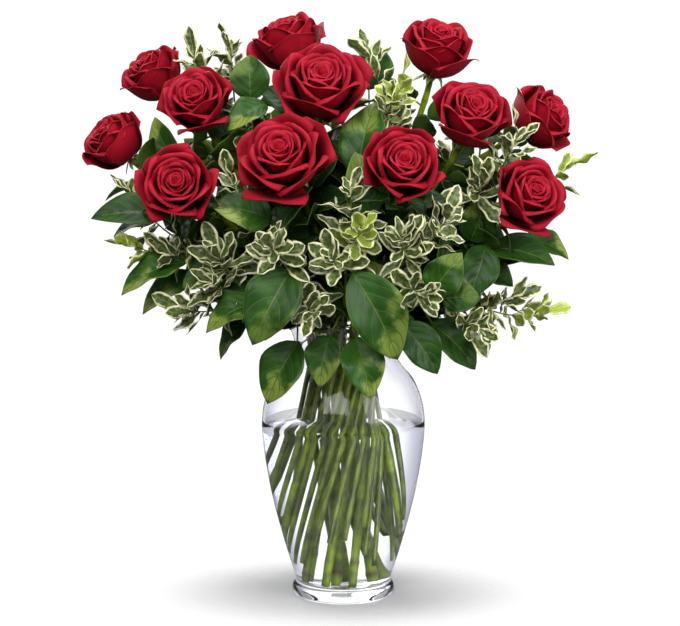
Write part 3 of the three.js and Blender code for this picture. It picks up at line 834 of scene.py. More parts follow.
class Frame:
    """Tells how far a point is from a CAD node's surface, in millimetres."""

    trees: dict[str, BVHTree] = {}

    @classmethod
    def tree(cls, node: str) -> BVHTree:
        """Sorts a node's faces for search, once.

        Args:
            node: The CAD node.

        Returns:
            Its search tree.
        """
        if node not in cls.trees:
            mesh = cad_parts[node].data
            corners = [vert.co / MM for vert in mesh.vertices]
            faces = [tuple(face.vertices) for face in mesh.polygons]
            cls.trees[node] = BVHTree.FromPolygons(corners, faces)
        return cls.trees[node]

    @classmethod
    def gap(cls, node: str, point: Vector) -> float:
        """Returns the distance from a point to a node's surface."""
        return cls.tree(node).find_nearest(point)[3]

    @classmethod
    def crossed(cls, node: str, line: Sequence[Vector]) -> bool:
        """Tells whether a line goes through a node's surface.

        Args:
            node: The CAD node.
            line: The points of the line.

        Returns:
            True where it does.
        """
        return any(
            cls.tree(node).ray_cast(a, (b - a).normalized(), (b - a).length)[0] is not None
            for a, b in zip(line, line[1:])
        )

    @classmethod
    def pick(
        cls,
        node: str,
        ways: Sequence[tuple[float, float]],
        depth: float,
        points: Callable[[float, float], Iterable[Vector]],
        slack: float = 0.8,
    ) -> tuple[float, float] | None:
        """Finds the way that a piece of a node was swung to clear its neighbours.

        Args:
            node: The CAD node.
            ways: The ways that it can be swung, as sway and lift.
            depth: How deep in the solid the points lie.
            points: Gives points of the piece for a way.
            slack: The largest error of a match.

        Returns:
            The matching way, or None where the node doesn't hold the piece.
        """
        best, error = None, slack
        for way in ways:
            miss = max(abs(cls.gap(node, point) - depth) for point in points(*way))
            if miss < error:
                best, error = way, miss
        return best


# ---- Vase and water ---------------------------------------------------------------------

FLOOR_Z = 11.0
NECK_Z = 226.0
WATER_LEVEL = 160.0

# Outlines of the vase, as the radius and height of each point.
VASE_UNDERSIDE = [(0, 0.6), (40.0, 0.6), (42.5, 0.0)]
VASE_FOOT = [
    (45.0, 0.0), (46.1, 0.8), (46.7, 2.4), (46.6, 6.5), (45.6, 9.4), (43.9, 11.4), (43.5, 14.0),
]
VASE_BODY = [
    (44.4, 19.0), (53.0, 46.0), (65.0, 92.0), (72.5, 138.0), (73.0, 168.0),
    (65.0, 194.0), (52.0, 211.0), (43.4, 226.0), (50.0, 250.0),
]
VASE_LIP = [(49.4, 250.9), (48.4, 250.8)]
VASE_HOLLOW = [(30.0, FLOOR_Z), (36.5, FLOOR_Z + 0.8), (40.0, FLOOR_Z + 3.2)]


def smooth_outline(points: Sequence[tuple[float, float]], steps: int) -> list[tuple[float, float]]:
    """Draws a smooth curve through points.

    Args:
        points: The points.
        steps: Steps between each two of them.

    Returns:
        The points of the curve.
    """
    ends = [points[0], *points, points[-1]]
    curve = []
    for a, b, c, d in zip(ends, ends[1:], ends[2:], ends[3:]):
        for k in range(steps):
            t = k / steps
            curve.append(tuple(between(*four, t) for four in zip(a, b, c, d)))
    return [*curve, points[-1]]


def between(p: float, q: float, r: float, s: float, t: float) -> float:
    """Returns the number a share t of the way from q to r on a smooth curve from p to s."""
    bend = (r - p) * t + (2 * p - 5 * q + 4 * r - s) * t**2 + (3 * q - p - 3 * r + s) * t**3
    return 0.5 * (2 * q + bend)


@dataclass
class Vase:
    """The glass vase and its water."""

    sides: int = 96
    steps: int = 6
    wall: float = 2.4
    wall_foot: float = 17.0
    glass_overlap: float = 0.4
    floor_overlap: float = 0.2
    shore: float = 4.0

    def outside(self) -> list[tuple[float, float]]:
        """Returns the outer outline from the foot to the lip."""
        return [*VASE_FOOT, *smooth_outline(VASE_BODY, self.steps)]

    def inside(self) -> list[tuple[float, float]]:
        """Returns the inner outline from the floor to the lip."""
        wall = [(r - self.wall, z) for r, z in self.outside() if z > self.wall_foot]
        return [*VASE_HOLLOW, *wall]

    def build(self) -> None:
        """Builds the glass and the water."""
        self.glass()
        self.water()

    def glass(self) -> None:
        """Builds the glass from its underside round the lip to its floor."""
        piece = Piece("vase_glass")
        inner = [*reversed(self.inside()), (0, FLOOR_Z)]
        piece.turned([*VASE_UNDERSIDE, *self.outside(), *VASE_LIP, *inner], self.sides)
        piece.finish([Finish.GLASS], "glass", ["vase"])

    def water(self) -> None:
        """Builds the water, which reaches into the glass a little so that no air shows between."""
        piece = Piece("vase_water")
        inside = self.inside()
        wet = [(r + self.glass_overlap, z) for r, z in inside if z < WATER_LEVEL - self.shore]
        widest = max(r for r, z in inside if z < WATER_LEVEL + self.shore)
        floor = [(r, z - self.floor_overlap) for r, z in ((0, FLOOR_Z), *wet[:3])]
        top = [(widest + self.glass_overlap, WATER_LEVEL), (0, WATER_LEVEL)]
        piece.turned([*floor, *wet[3:], *top], self.sides)
        piece.finish([Finish.WATER], "water", ["water"])


# ---- Stems ------------------------------------------------------------------------------

FOOT_TURN = -90.0
ROSE_FOOT_Z = 12.9
STEM_STEPS = 6

# The sways and lifts that the CAD source tries, in turn, so that a piece clears its neighbours.
STEM_BENDS = [
    (0, 0), (0.08, 0), (-0.08, 0), (0, 0.08), (0, -0.08), (0.15, 0), (-0.15, 0), (0, 0.15),
    (0.12, 0.12), (-0.12, 0.12), (0.12, -0.12), (-0.12, -0.12), (0.22, 0), (-0.22, 0), (0, 0.22),
    (0.3, 0.1), (-0.3, 0.1), (0.3, -0.15), (-0.3, -0.15), (0.4, 0), (-0.4, 0),
    (0.2, 0.3), (-0.2, 0.3), (0.5, 0.2), (-0.5, 0.2),
]
LEAF_SWINGS = [
    (0, 0), (0.2, 0), (-0.2, 0), (0, 0.2), (0, -0.2), (0.35, 0.2), (-0.35, 0.2), (0.35, -0.2),
    (-0.35, -0.2), (0, 0.4), (0, -0.4), (0.6, 0), (-0.6, 0), (0.6, 0.4), (-0.6, 0.4),
    (0.6, -0.4), (-0.6, -0.4),
]


class Curve:
    """A curve through space that is walked by shares of its length."""

    steps = 200
    nudge = 0.0001

    def __init__(self, *control: Vector) -> None:
        """Measures the curve.

        Args:
            control: The three or four points that pull the curve; it meets the end ones.
        """
        self.control = control
        self.points = [self.at(i / self.steps) for i in range(self.steps + 1)]
        self.lengths = [0.0]
        for a, b in zip(self.points, self.points[1:]):
            self.lengths.append(self.lengths[-1] + (b - a).length)

    def at(self, t: float) -> Vector:
        """Finds a point of the curve.

        Args:
            t: The curve's own parameter there, from 0 to 1.

        Returns:
            The point.
        """
        points = list(self.control)
        while len(points) > 1:
            points = [a.lerp(b, t) for a, b in zip(points, points[1:])]
        return points[0]

    def along(self, share: float) -> Vector:
        """Finds a point by its distance along the curve.

        Args:
            share: The distance as a share of the length.

        Returns:
            The point.
        """
        goal = share * self.lengths[-1]
        i = next((i for i, length in enumerate(self.lengths) if length >= goal), self.steps)
        if i == 0:
            return self.points[0].copy()
        low, high = self.lengths[i - 1], self.lengths[i]
        return self.at((i - 1 + (goal - low) / max(high - low, 1e-9)) / self.steps)

    def way(self, share: float) -> Vector:
        """Returns the direction at a share of the length."""
        low, high = max(0.0, share - self.nudge), min(1.0, share + self.nudge)
        return (self.along(high) - self.along(low)).normalized()

    def walk(self, steps: int) -> list[Vector]:
        """Returns the points at even steps along the curve, with both ends."""
        return [self.along(k / steps) for k in range(steps + 1)]


@dataclass
class Stem:
    """A stem that is straight in the vase and curves to its end above the neck."""

    neck_place: tuple[float, float]
    foot_place: tuple[float, float]
    end: Vector
    end_way: Vector

    lower_handle = 0.35
    upper_handle = 0.4
    leaf_span = (0.16, 0.94)
    leaf_spread = (50, 75)
    leaf_length = (42, 66)
    leaf_slimness = 0.66
    # The leaves that fill the middle get the lowest tone, painted dark as shade inside the bouquet.
    inner_leaf_shade = -0.6
    stalk_length = 12
    stalk_radius = 0.9

    def bent(self, sway: float, lift: float) -> "Stem":
        """Works out where the stem runs.

        Args:
            sway: How far its middle is moved aside, as a share of its reach above the neck.
            lift: How far its middle is moved up, as such a share.

        Returns:
            The stem itself.
        """
        radius, angle = self.neck_place
        foot_radius, foot_z = self.foot_place
        turn = FOOT_TURN * (NECK_Z - foot_z) / (NECK_Z - FLOOR_Z)
        self.neck = flat(math.radians(angle), radius, NECK_Z)
        self.foot = flat(math.radians(angle + turn), foot_radius, foot_z)
        reach = (self.neck - self.end).length
        way = (self.neck - self.foot).normalized()
        side = (self.end - self.neck).cross(UP).normalized()
        shift = side * (sway * reach) + UP * (lift * reach)
        out = self.neck + way * (reach * self.lower_handle) + shift
        back = self.end - self.end_way * (reach * self.upper_handle) + shift
        self.upper = Curve(self.neck, out, back, self.end)
        return self

    def fitted(self, node: str, depth: float, slack: float = 0.8) -> "Stem":
        """Bends the stem the way that its CAD solid is bent.

        Args:
            node: The CAD node.
            depth: The radius of the solid's stem above the neck.
            slack: The largest error of a match.

        Returns:
            The stem itself.
        """
        way = Frame.pick(
            node, STEM_BENDS, depth, lambda sway, lift: self.bent(sway, lift).rings(), slack
        )
        if way is None:
            log.warning("%s: no match for its stem", node)
        return self.bent(*(way or (0, 0)))

    def rings(self) -> list[Vector]:
        """Returns the axis at the rings of the CAD solid above the neck."""
        return self.upper.walk(STEM_STEPS - 1)[1:-1]

    def taper(self, thick: float, thin: float, share: float) -> float:
        """Works out the radius of a stem that thins out above the neck.

        Args:
            thick: Its radius in the vase.
            thin: Its radius at the end.
            share: The place as a share of the whole stem.

        Returns:
            The radius there.
        """
        low = (self.neck - self.foot).length
        past = 0.9 * low / (low + self.upper.lengths[-1])
        return lerp(thick, thin, min(1.0, max(0.0, (share - past) / (1 - past)) * 1.6))

    def path(self, spacing: float) -> list[Vector]:
        """Walks the whole axis from the foot.

        Args:
            spacing: About how far apart the points are.

        Returns:
            The points.
        """
        steps = round((self.neck - self.foot).length / spacing)
        straight = [self.foot.lerp(self.neck, i / steps) for i in range(steps)]
        return straight + self.upper.walk(round(self.upper.lengths[-1] / spacing))

    def leaf(self, share: float, turn: float, seed: float, length: float) -> "Leaf":
        """Places a leaf on the stem.

        Args:
            share: Where it grows, as a share of the stem above the neck.
            turn: The angle round the stem at which it grows, in radians.
            seed: The seed of its draw.
            length: Its length.

        Returns:
            The leaf.
        """
        start, along = self.upper.along(share), self.upper.way(share)
        around = Matrix.Rotation(turn, 3, along) @ along.cross(UP).normalized()
        spread = math.radians(lerp(*self.leaf_spread, draw(seed)))
        way = (along * math.cos(spread) + around * math.sin(spread)).normalized()
        base = start + way * self.stalk_length
        facing = outwards(start) * 0.8 + UP * 0.6
        width = self.leaf_slimness * length
        return Leaf(base, base + way * length, facing, width, fold=0.3, sag=0.1)

    def dress(
        self,
        stalks: Piece,
        blades: Piece,
        seed: float,
        count: int,
        reach: float = 1.0,
        size: float = 1.0,
    ) -> int:
        """Adds the leaves along the stem that fill the middle of the bouquet, painted dark as
        shade.

        Args:
            stalks: The piece that gets their stalks.
            blades: The piece that gets their blades.
            seed: The seed of this stem's draws.
            count: How many places for a leaf there are; where there is no room, none grows.
            reach: How far out they may stand, as a share of the size of the foliage.
            size: Their size as a share of the largest ones.

        Returns:
            How many leaves there was room for.
        """
        made = 0
        for k in range(count):
            share = lerp(*self.leaf_span, k / (count - 1))
            length = size * lerp(*self.leaf_length, draw(seed + 2 * k))
            leaf = self.leaf(share, k * GOLDEN_ANGLE + seed, seed + k, length)
            spots = [leaf.point(u, v) for u in (-1, 0, 1) for v in (0.1, 0.4, 0.7, 1)]
            if not all(Space.inner(spot, reach) for spot in spots):
                continue
            blade(blades, leaf, seed + 5 * k, self.inner_leaf_shade, columns=6, rows=9)
            start, end = self.upper.along(share), leaf.point(0, 0.06)
            stalk = [start.lerp(end, i / 3) for i in range(4)]
            stalks.tube(stalk, lambda _: self.stalk_radius, sides=6)
            made += 1
        return made


# ---- Roses ------------------------------------------------------------------------------


@dataclass(frozen=True)
class Rose:
    """One rose: its bloom of petals in a spiral, its hip with sepals, and its stem."""

    name: str
    centre: Place
    facing: Place
    size: float
    open: float
    spin: float
    neck: tuple[float, float]
    foot: tuple[float, float]

    petals = 30
    outer_petals = 12
    bloom_size = 80.0
    bloom_middle = 24.0
    neck_drop = 3.5
    cad_depth = 3.7 * math.cos(math.pi / 5)
    stem_radius = 3.35
    spacing = 5.0
    node_spacing = 34.0
    node_swelling = 0.55
    node_length = 2.6
    scar = 0.9
    leaf_places = 28
    leaf_reach = 1.1
    leaf_size = 0.72
    hip = [(0, -10), (2.5, -9.6), (3.6, -8), (5.1, -5), (4.9, -2.6), (4.2, -0.8), (0, -0.6)]
    sepals = 5
    sepal_length = 15
    sepal_width = 3.0
    sepal_root = 3.2

    def face(self) -> Vector:
        """Returns the way that the bloom looks."""
        return Vector(self.facing).normalized()

    def scale(self) -> float:
        """Returns the bloom's size as a share of the size that the formulas are written for."""
        return self.size / self.bloom_size

    def base(self) -> Vector:
        """Returns the bottom of the bloom."""
        return Vector(self.centre) - self.face() * self.bloom_middle * self.scale()

    def placing(self) -> Matrix:
        """Returns the move that puts a shape modelled looking up in the bloom's place."""
        turn = UP.rotation_difference(self.face()).to_matrix().to_4x4()
        return Matrix.Translation(self.base()) @ turn @ Matrix.Scale(self.scale(), 4)

    def build(self) -> None:
        """Builds the bloom, the stem, the hip and the sepals."""
        self.bloom()
        self.stem()
        self.calyx()

    def bloom(self) -> None:
        """Builds the petals in a spiral round the scroll at the heart."""
        piece = Piece("bloom_" + self.name)
        for i in range(self.petals):
            columns, rows = (12, 12) if i < self.outer_petals else (10, 9)
            piece.sheet(Petal(self, i).point, columns, rows, draw(self.spin + 3 * i))
        piece.sheet(self.heart, columns=40, rows=6)
        piece.pose(self.placing())
        node = "rose_bloom_" + self.name
        piece.finish([Finish.PETAL_BACK, Finish.PETAL], "petal", [node], thickness=0.55)

    def heart(self, u: float, v: float) -> Vector:
        """Shapes the innermost petal, a scroll of rather more than two turns.

        Args:
            u: The place round the scroll, from -1 to 1.
            v: The place up it, from 0 to 1.

        Returns:
            The point there.
        """
        share = (u + 1) / 2
        angle = math.radians(self.spin) + 4.6 * math.pi * share
        return flat(angle, 0.4 + 3.2 * share, lerp(22, 50.5 - 1.5 * share, v))

    def stem(self) -> None:
        """Builds the stem with its leaves, up to the swelling under the bloom."""
        node = "rose_stem_" + self.name
        end = self.base() - self.face() * self.neck_drop * self.scale()
        stem = Stem(self.neck, self.foot, end, self.face()).fitted(node, self.cad_depth)
        path = stem.path(self.spacing)
        length = sum((b - a).length for a, b in zip(path, path[1:]))
        phase = draw(self.spin)

        def swelling(share: float) -> float:
            """Returns how near a share of the stem is to one of its nodes."""
            place = (share * length / self.node_spacing + phase) % 1
            return math.exp(-(((place - 0.5) * self.node_spacing / self.node_length) ** 2))

        def radius(share: float) -> float:
            """Returns the stem's radius, slimmer towards the bloom."""
            slim = self.stem_radius * lerp(1.08, 0.82, share)
            return slim + self.node_swelling * swelling(share)

        piece = Piece("stem_" + self.name)
        piece.tube(path, radius, sides=12, mark=lambda share: self.scar * swelling(share) ** 3)
        leaves = Piece("rose_leaves_" + self.name)
        made = stem.dress(
            piece, leaves, self.spin + 0.5, self.leaf_places, self.leaf_reach, self.leaf_size
        )
        log.info("%s: %d leaves", node, made)
        piece.finish([Finish.ROSE_STEM], "rose_stem", [node], turn_out=True)
        if made:
            sides = [Finish.SALAL_BACK, Finish.SALAL]
            leaves.finish(sides, "rose_stem", [node], thickness=0.5)

    def calyx(self) -> None:
        """Builds the green hip under the bloom and its drooping sepals."""
        node = "rose_stem_" + self.name
        piece = Piece("calyx_" + self.name)
        piece.turned(self.hip, sides=14)
        piece.pose(self.placing())
        piece.finish([Finish.HIP], "rose_stem", [node])
        leaves = Piece("sepals_" + self.name)
        for k in range(self.sepals):
            leaves.sheet(lambda u, v: self.sepal(k, u, v), columns=4, rows=8, tone=draw(k))
        leaves.pose(self.placing())
        leaves.finish([Finish.HIP], "rose_stem", [node], thickness=0.5)

    def sepal(self, k: int, u: float, v: float) -> Vector:
        """Shapes a sepal, which curls down and back towards its tip.

        Args:
            k: The sepal's number.
            u: The place across it, from -1 to 1.
            v: The place along it, from 0 to 1.

        Returns:
            The point there.
        """
        reach = self.sepal_length * (0.8 + 0.3 * draw(2 * k + 1))
        angle = math.pi * (2 * k + 1) / self.sepals
        half = self.sepal_width * (1 - v) ** 0.7 * (0.8 + 0.8 * v)
        out = self.sepal_root + (reach - self.sepal_root) * math.sin(v * 1.5)
        fall = -1.2 - 13 * v**1.3 + 3 * math.cos(3 * v + k)
        point = Vector((out, u * half, fall - 3 * math.cos(k) + 0.25 * abs(u) * half))
        return Matrix.Rotation(angle, 3, "Z") @ point


@dataclass
class Petal:
    """One petal of a bloom, number 0 the outermost."""

    rose: Rose
    number: int

    length = 46.0
    largest_curl = 2.7
    nudge = 0.01

    def __post_init__(self) -> None:
        """Works out the petal's shape from its place in the spiral and its own draws."""
        spin = self.rose.spin
        t = self.number / (self.rose.petals - 1)
        settled = min(1.0, t / 0.45)
        loose = min(1.0, self.number / self.rose.outer_petals)
        chance = [draw(spin + 7.7 * self.number + k) - 0.5 for k in range(4)]
        # Where it stands: the outer petals lie low and wide, the inner ones upright and close.
        turn = math.radians(spin) + self.number * GOLDEN_ANGLE + 0.5 * loose * chance[0]
        self.turn = Matrix.Rotation(turn, 3, "Z")
        self.root = 1 + 18 * t
        self.belly = lerp(27, 3, t**0.85)
        self.tip_radius = self.belly + 13 * self.rose.open * (1 - t) ** 3 - 2 * t
        self.tip_radius += 2 * loose * chance[2] * (1 - t)
        low = 31 + 14 * (1 - self.rose.open)
        self.tip_height = lerp(low, 52, settled * (2 - settled)) - 4 * t * t
        self.tip_height += 3.5 * loose * chance[1]
        # How it is cut: its width, how flat it lies, and how pointed and ruffled its rim is.
        self.width = lerp(27, 10, t)
        self.flatness = lerp(1.4, 1.05, min(1.0, t * 1.6))
        pointed = lerp(0.24, 0.62, draw(spin + 1.3 * self.number))
        self.roundness = lerp(pointed, 0.5, min(1.0, t * 2.4))
        self.ruffle = 0.05 * (1 - t)
        self.phase = 2 * math.pi * draw(2 * self.number + spin)
        # How its rim rolls back: where the fold runs, how far from the rim and how tightly.
        self.fold = lerp(0.5, 0.16, math.sqrt(t)) * lerp(0.55, 1.1, draw(spin + 5 * self.number))
        self.lip = 0.09 * min(1.0, t * 3.5) * (1 + 0.8 * chance[3])
        self.curl = lerp(6.8, 1.25, min(1.0, t * 2.6) ** 0.6)

    def sheet(self, u: float, v: float) -> Vector:
        """Shapes the petal before its rim is rolled back.

        Args:
            u: The place across it, from -1 to 1.
            v: The place along it, from 0 to 1.

        Returns:
            The point there.
        """
        w = v * (1 - 0.1 * abs(u) ** 3 + self.ruffle * v * math.sin(5 * u + self.phase))
        m = 1 - w
        low, high = self.belly * 1.12 + 1, self.belly * 0.9 + self.tip_radius * 0.12
        r = 1.2 * m**3 + 3 * low * m * m * w + 3 * high * m * w * w + self.tip_radius * w**3
        middle = lerp(self.root, self.tip_height, 0.62)
        z = self.root * (m**3 + 3 * m * m * w) + 3 * middle * m * w * w + self.tip_height * w**3
        wrap = max(r, 3) * self.flatness
        half = min(2.1, (self.width * 1.3 * max(w, 0) ** 0.55 * (1 - 0.35 * w**4)) / wrap)
        radial = r + wrap * (math.cos(u * half) - 1)
        return self.turn @ Vector((radial, wrap * math.sin(u * half), z))

    def point(self, u: float, v: float) -> Vector:
        """Shapes the petal, whose rim rolls back past a fold that falls from the tip to the sides.

        Args:
            u: The place across it, from -1 to 1.
            v: The place along it, from 0 to 1.

        Returns:
            The point there.
        """
        v = 1 - (1 - v) ** 1.6
        slant = math.hypot(u, self.roundness)
        past = v + self.fold * (slant - self.roundness) - 1 + self.lip
        if past <= 0:
            return self.sheet(u, v)
        du, dv = self.fold * u / slant / self.width, 1 / self.length
        slope = math.hypot(du, dv)
        reach = past / slope
        u0, v0 = u - reach * du / slope / self.width, v - reach * dv / slope / self.length
        start = self.sheet(u0, v0)
        across = (self.sheet(u0 + self.nudge, v0) - start).normalized()
        up = (self.sheet(u0, v0 + self.nudge) - start).normalized()
        out = across.cross(up).normalized()
        way = (across * du + up * dv).normalized()
        radius = self.curl * (1 + 0.25 * math.sin(2.2 * u + self.phase))
        angle = min(reach / radius, self.largest_curl)
        return start + way * (radius * math.sin(angle)) + out * (radius * (1 - math.cos(angle)))


# Name, centre, way it looks, width, openness and turn of each rose.
ROSES = [
    Rose("far_left", (-203, 0, 409), (-0.62, -0.42, 0.66), 66, 0.7, 25,
         neck=(21, 176), foot=(31, ROSE_FOOT_Z)),
    Rose("upper_left", (-172, 55, 468), (-0.5, -0.38, 0.78), 68, 0.75, 80,
         neck=(21, 138), foot=(32, ROSE_FOOT_Z)),
    Rose("left_middle", (-127, -20, 444), (-0.16, -0.8, 0.58), 70, 0.9, 140,
         neck=(9.5, 192), foot=(17, ROSE_FOOT_Z)),
    Rose("lower_left", (-139, -90, 377), (-0.04, -0.96, 0.26), 71, 0.85, 200,
         neck=(21, 214), foot=(54, 80)),
    Rose("top_left", (-50, 50, 497), (-0.3, -0.22, 0.93), 74, 0.9, 10,
         neck=(9.5, 105), foot=(20, ROSE_FOOT_Z)),
    Rose("centre_top", (-19, -50, 457), (0.05, -0.76, 0.65), 86, 1.05, 60,
         neck=(9.5, 265), foot=(24, ROSE_FOOT_Z)),
    Rose("centre_low", (-49, -105, 398), (-0.2, -0.82, 0.54), 84, 1.1, 250,
         neck=(21, 252), foot=(45.5, 48)),
    Rose("top_right", (84, 30, 491), (0.16, -0.48, 0.86), 74, 0.85, 310,
         neck=(21, 55), foot=(47, 56)),
    Rose("right_middle", (110, -45, 432), (0.2, -0.72, 0.66), 74, 0.8, 120,
         neck=(9.5, 340), foot=(18, ROSE_FOOT_Z)),
    Rose("centre_right", (50, -105, 393), (0.06, -0.92, 0.4), 72, 0.8, 170,
         neck=(21, 292), foot=(33, ROSE_FOOT_Z)),
    Rose("far_right", (178, 30, 429), (0.76, -0.42, 0.5), 70, 0.95, 220,
         neck=(21, 12), foot=(33, ROSE_FOOT_Z)),
    Rose("lower_right", (157, -60, 365), (0.4, -0.82, 0.42), 72, 1.0, 280,
         neck=(21, 332), foot=(33, ROSE_FOOT_Z)),
]


# ---- Leaves -----------------------------------------------------------------------------


@dataclass
class Leaf:
    """A pointed leaf from base to tip whose face looks along facing."""

    base: Vector
    tip: Vector
    facing: Vector
    width: float
    fold: float
    sag: float
    wave: float = 0.0
    lobes: float = 0.0
    broadest: float = 0.8
    bluntness: float = 0.8
    curl: float = 0.0
    twist: float = 0.0
    ripples: float = 2.2

    half_lobes = 9

    def axes(self) -> tuple[Vector, Vector, Vector]:
        """Works out the leaf's directions.

        Returns:
            The directions along it, to its side and out of its face.
        """
        along = (self.tip - self.base).normalized()
        side = along.cross(self.facing).normalized()
        return along, side, side.cross(along).normalized()

    def swung(self, sway: float, lift: float) -> "Leaf":
        """Swings the leaf about its base.

        Args:
            sway: How far its tip goes aside, as a share of its length.
            lift: How far its tip rises, as such a share.

        Returns:
            The swung leaf.
        """
        along, side, out = self.axes()
        way = (along + side * sway + out * lift).normalized()
        return replace(self, tip=self.base + way * (self.tip - self.base).length)

    def point(self, u: float, v: float) -> Vector:
        """Shapes the leaf.

        Args:
            u: The place across it, from -1 to 1.
            v: The place along it, from 0 to 1.

        Returns:
            The point there.
        """
        along, side, out = self.axes()
        length = (self.tip - self.base).length
        wide = math.sin(math.pi * v**self.broadest) ** self.bluntness if 0 < v < 1 else 0.0
        wide *= 1 + self.lobes * math.sin(self.half_lobes * math.pi * v)
        half = self.width / 2 * wide
        shift = 0 if u > 0 else 2
        rise = self.sag * length * 4 * v * (1 - v) + abs(u) * half * math.sin(self.fold)
        rise += self.wave * abs(u) * half * math.sin(2 * math.pi * self.ripples * v + shift)
        rise -= self.curl * length * v**3
        side = side * math.cos(self.twist * v) + out * math.sin(self.twist * v)
        across = u * half * math.cos(self.fold)
        return self.base + along * (v * length) - side * across + out * rise

    def probes(self) -> list[Vector]:
        """Returns points of the leaf where the CAD solid has its own corners."""
        return [self.point(0, 0.32), self.point(0, 0.68), self.point(0, 0.99)]

    def match(self, node: str, depth: float, slack: float) -> tuple[float, float] | None:
        """Finds the way that the CAD node's leaf was swung.

        Args:
            node: The CAD node.
            depth: Half the thickness of its leaf.
            slack: The largest error of a match.

        Returns:
            The sway and the lift, or None where the node doesn't hold the leaf.
        """
        return Frame.pick(
            node, LEAF_SWINGS, depth, lambda sway, lift: self.swung(sway, lift).probes(), slack
        )


def blade(
    blades: Piece, leaf: Leaf, seed: float, tone: float, columns: int = 10, rows: int = 14
) -> None:
    """Adds one broad leaf, a little curled, twisted and waved in its own way.

    Args:
        blades: The piece that gets it.
        leaf: The leaf.
        seed: The seed of its draws.
        tone: Its own number for its colour.
        columns: Faces across.
        rows: Faces along.
    """
    curl, twist, wave = (draw(seed + k / 3) for k in range(3))
    leaf = replace(leaf, curl=0.16 * curl - 0.03, twist=0.7 * twist - 0.35, wave=0.12 * wave)
    blades.sheet(leaf.point, columns, rows, tone)


@dataclass(frozen=True)
class Branch:
    """A stem of foliage that ends on its own in the bouquet."""

    name: str
    neck: tuple[float, float]
    end: Place
    foot: tuple[float, float]

    cad_depth = 1.5
    slack = 1.0
    spacing = 6.0

    def grown(self, node: str) -> Stem:
        """Grows the stem, which leaves the bouquet half outwards and half up.

        Args:
            node: The CAD node of the branch.

        Returns:
            The stem.
        """
        end = Vector(self.end)
        way = outwards(end) * 0.7 + UP * 0.7
        return Stem(self.neck, self.foot, end, way).fitted(node, self.cad_depth, self.slack)


@dataclass(frozen=True)
class SalalBranch(Branch):
    """A stem of salal with its broad leaves."""

    leaves: Sequence[tuple[float, Place, Place, float, Place]]

    inner_count = 36
    inner_reach = 0.94

    def build(self) -> None:
        """Builds the stem and the leaves."""
        node = "salal_" + self.name
        stem = self.grown(node)
        stalks = Piece("salal_stem_" + self.name)
        path = stem.path(self.spacing)
        stalks.tube(path, lambda share: stem.taper(2.4, 1.1, share), sides=8)
        blades = Piece("salal_leaves_" + self.name)
        for i in range(len(self.leaves)):
            self.leaf(stalks, blades, node, stem, i)
        made = stem.dress(stalks, blades, self.neck[1], self.inner_count, self.inner_reach)
        log.info("%s: %d inner leaves", node, made)
        stalks.finish([Finish.TWIG], "salal", [node], turn_out=True)
        blades.finish([Finish.SALAL_BACK, Finish.SALAL], "salal", [node], thickness=0.5)

    def leaf(self, stalks: Piece, blades: Piece, node: str, stem: Stem, i: int) -> None:
        """Adds a leaf where the CAD node has it, with its stalk.

        Args:
            stalks: The piece that gets the stalk.
            blades: The piece that gets the leaf.
            node: The CAD node of the branch.
            stem: The stem.
            i: The leaf's number.
        """
        share, base, tip, width, facing = self.leaves[i]
        leaf = Leaf(Vector(base), Vector(tip), Vector(facing), width, fold=0.3, sag=0.1)
        swing = leaf.match(node, depth=0.4, slack=1.2)
        if swing is None:
            log.warning("%s: no match for leaf %d", node, i)
            return
        leaf = leaf.swung(*swing)
        seed = i + 7 * len(self.name)
        blade(blades, leaf, seed, draw(seed) ** 1.7)
        start = stem.upper.along(share)
        middle = start.lerp(leaf.base, 0.5) + UP * 0.06 * (leaf.base - start).length
        stalk = Curve(start, middle, leaf.point(0, 0.06))
        stalks.tube(stalk.walk(6), lambda share: lerp(1.1, 0.7, share), sides=6)


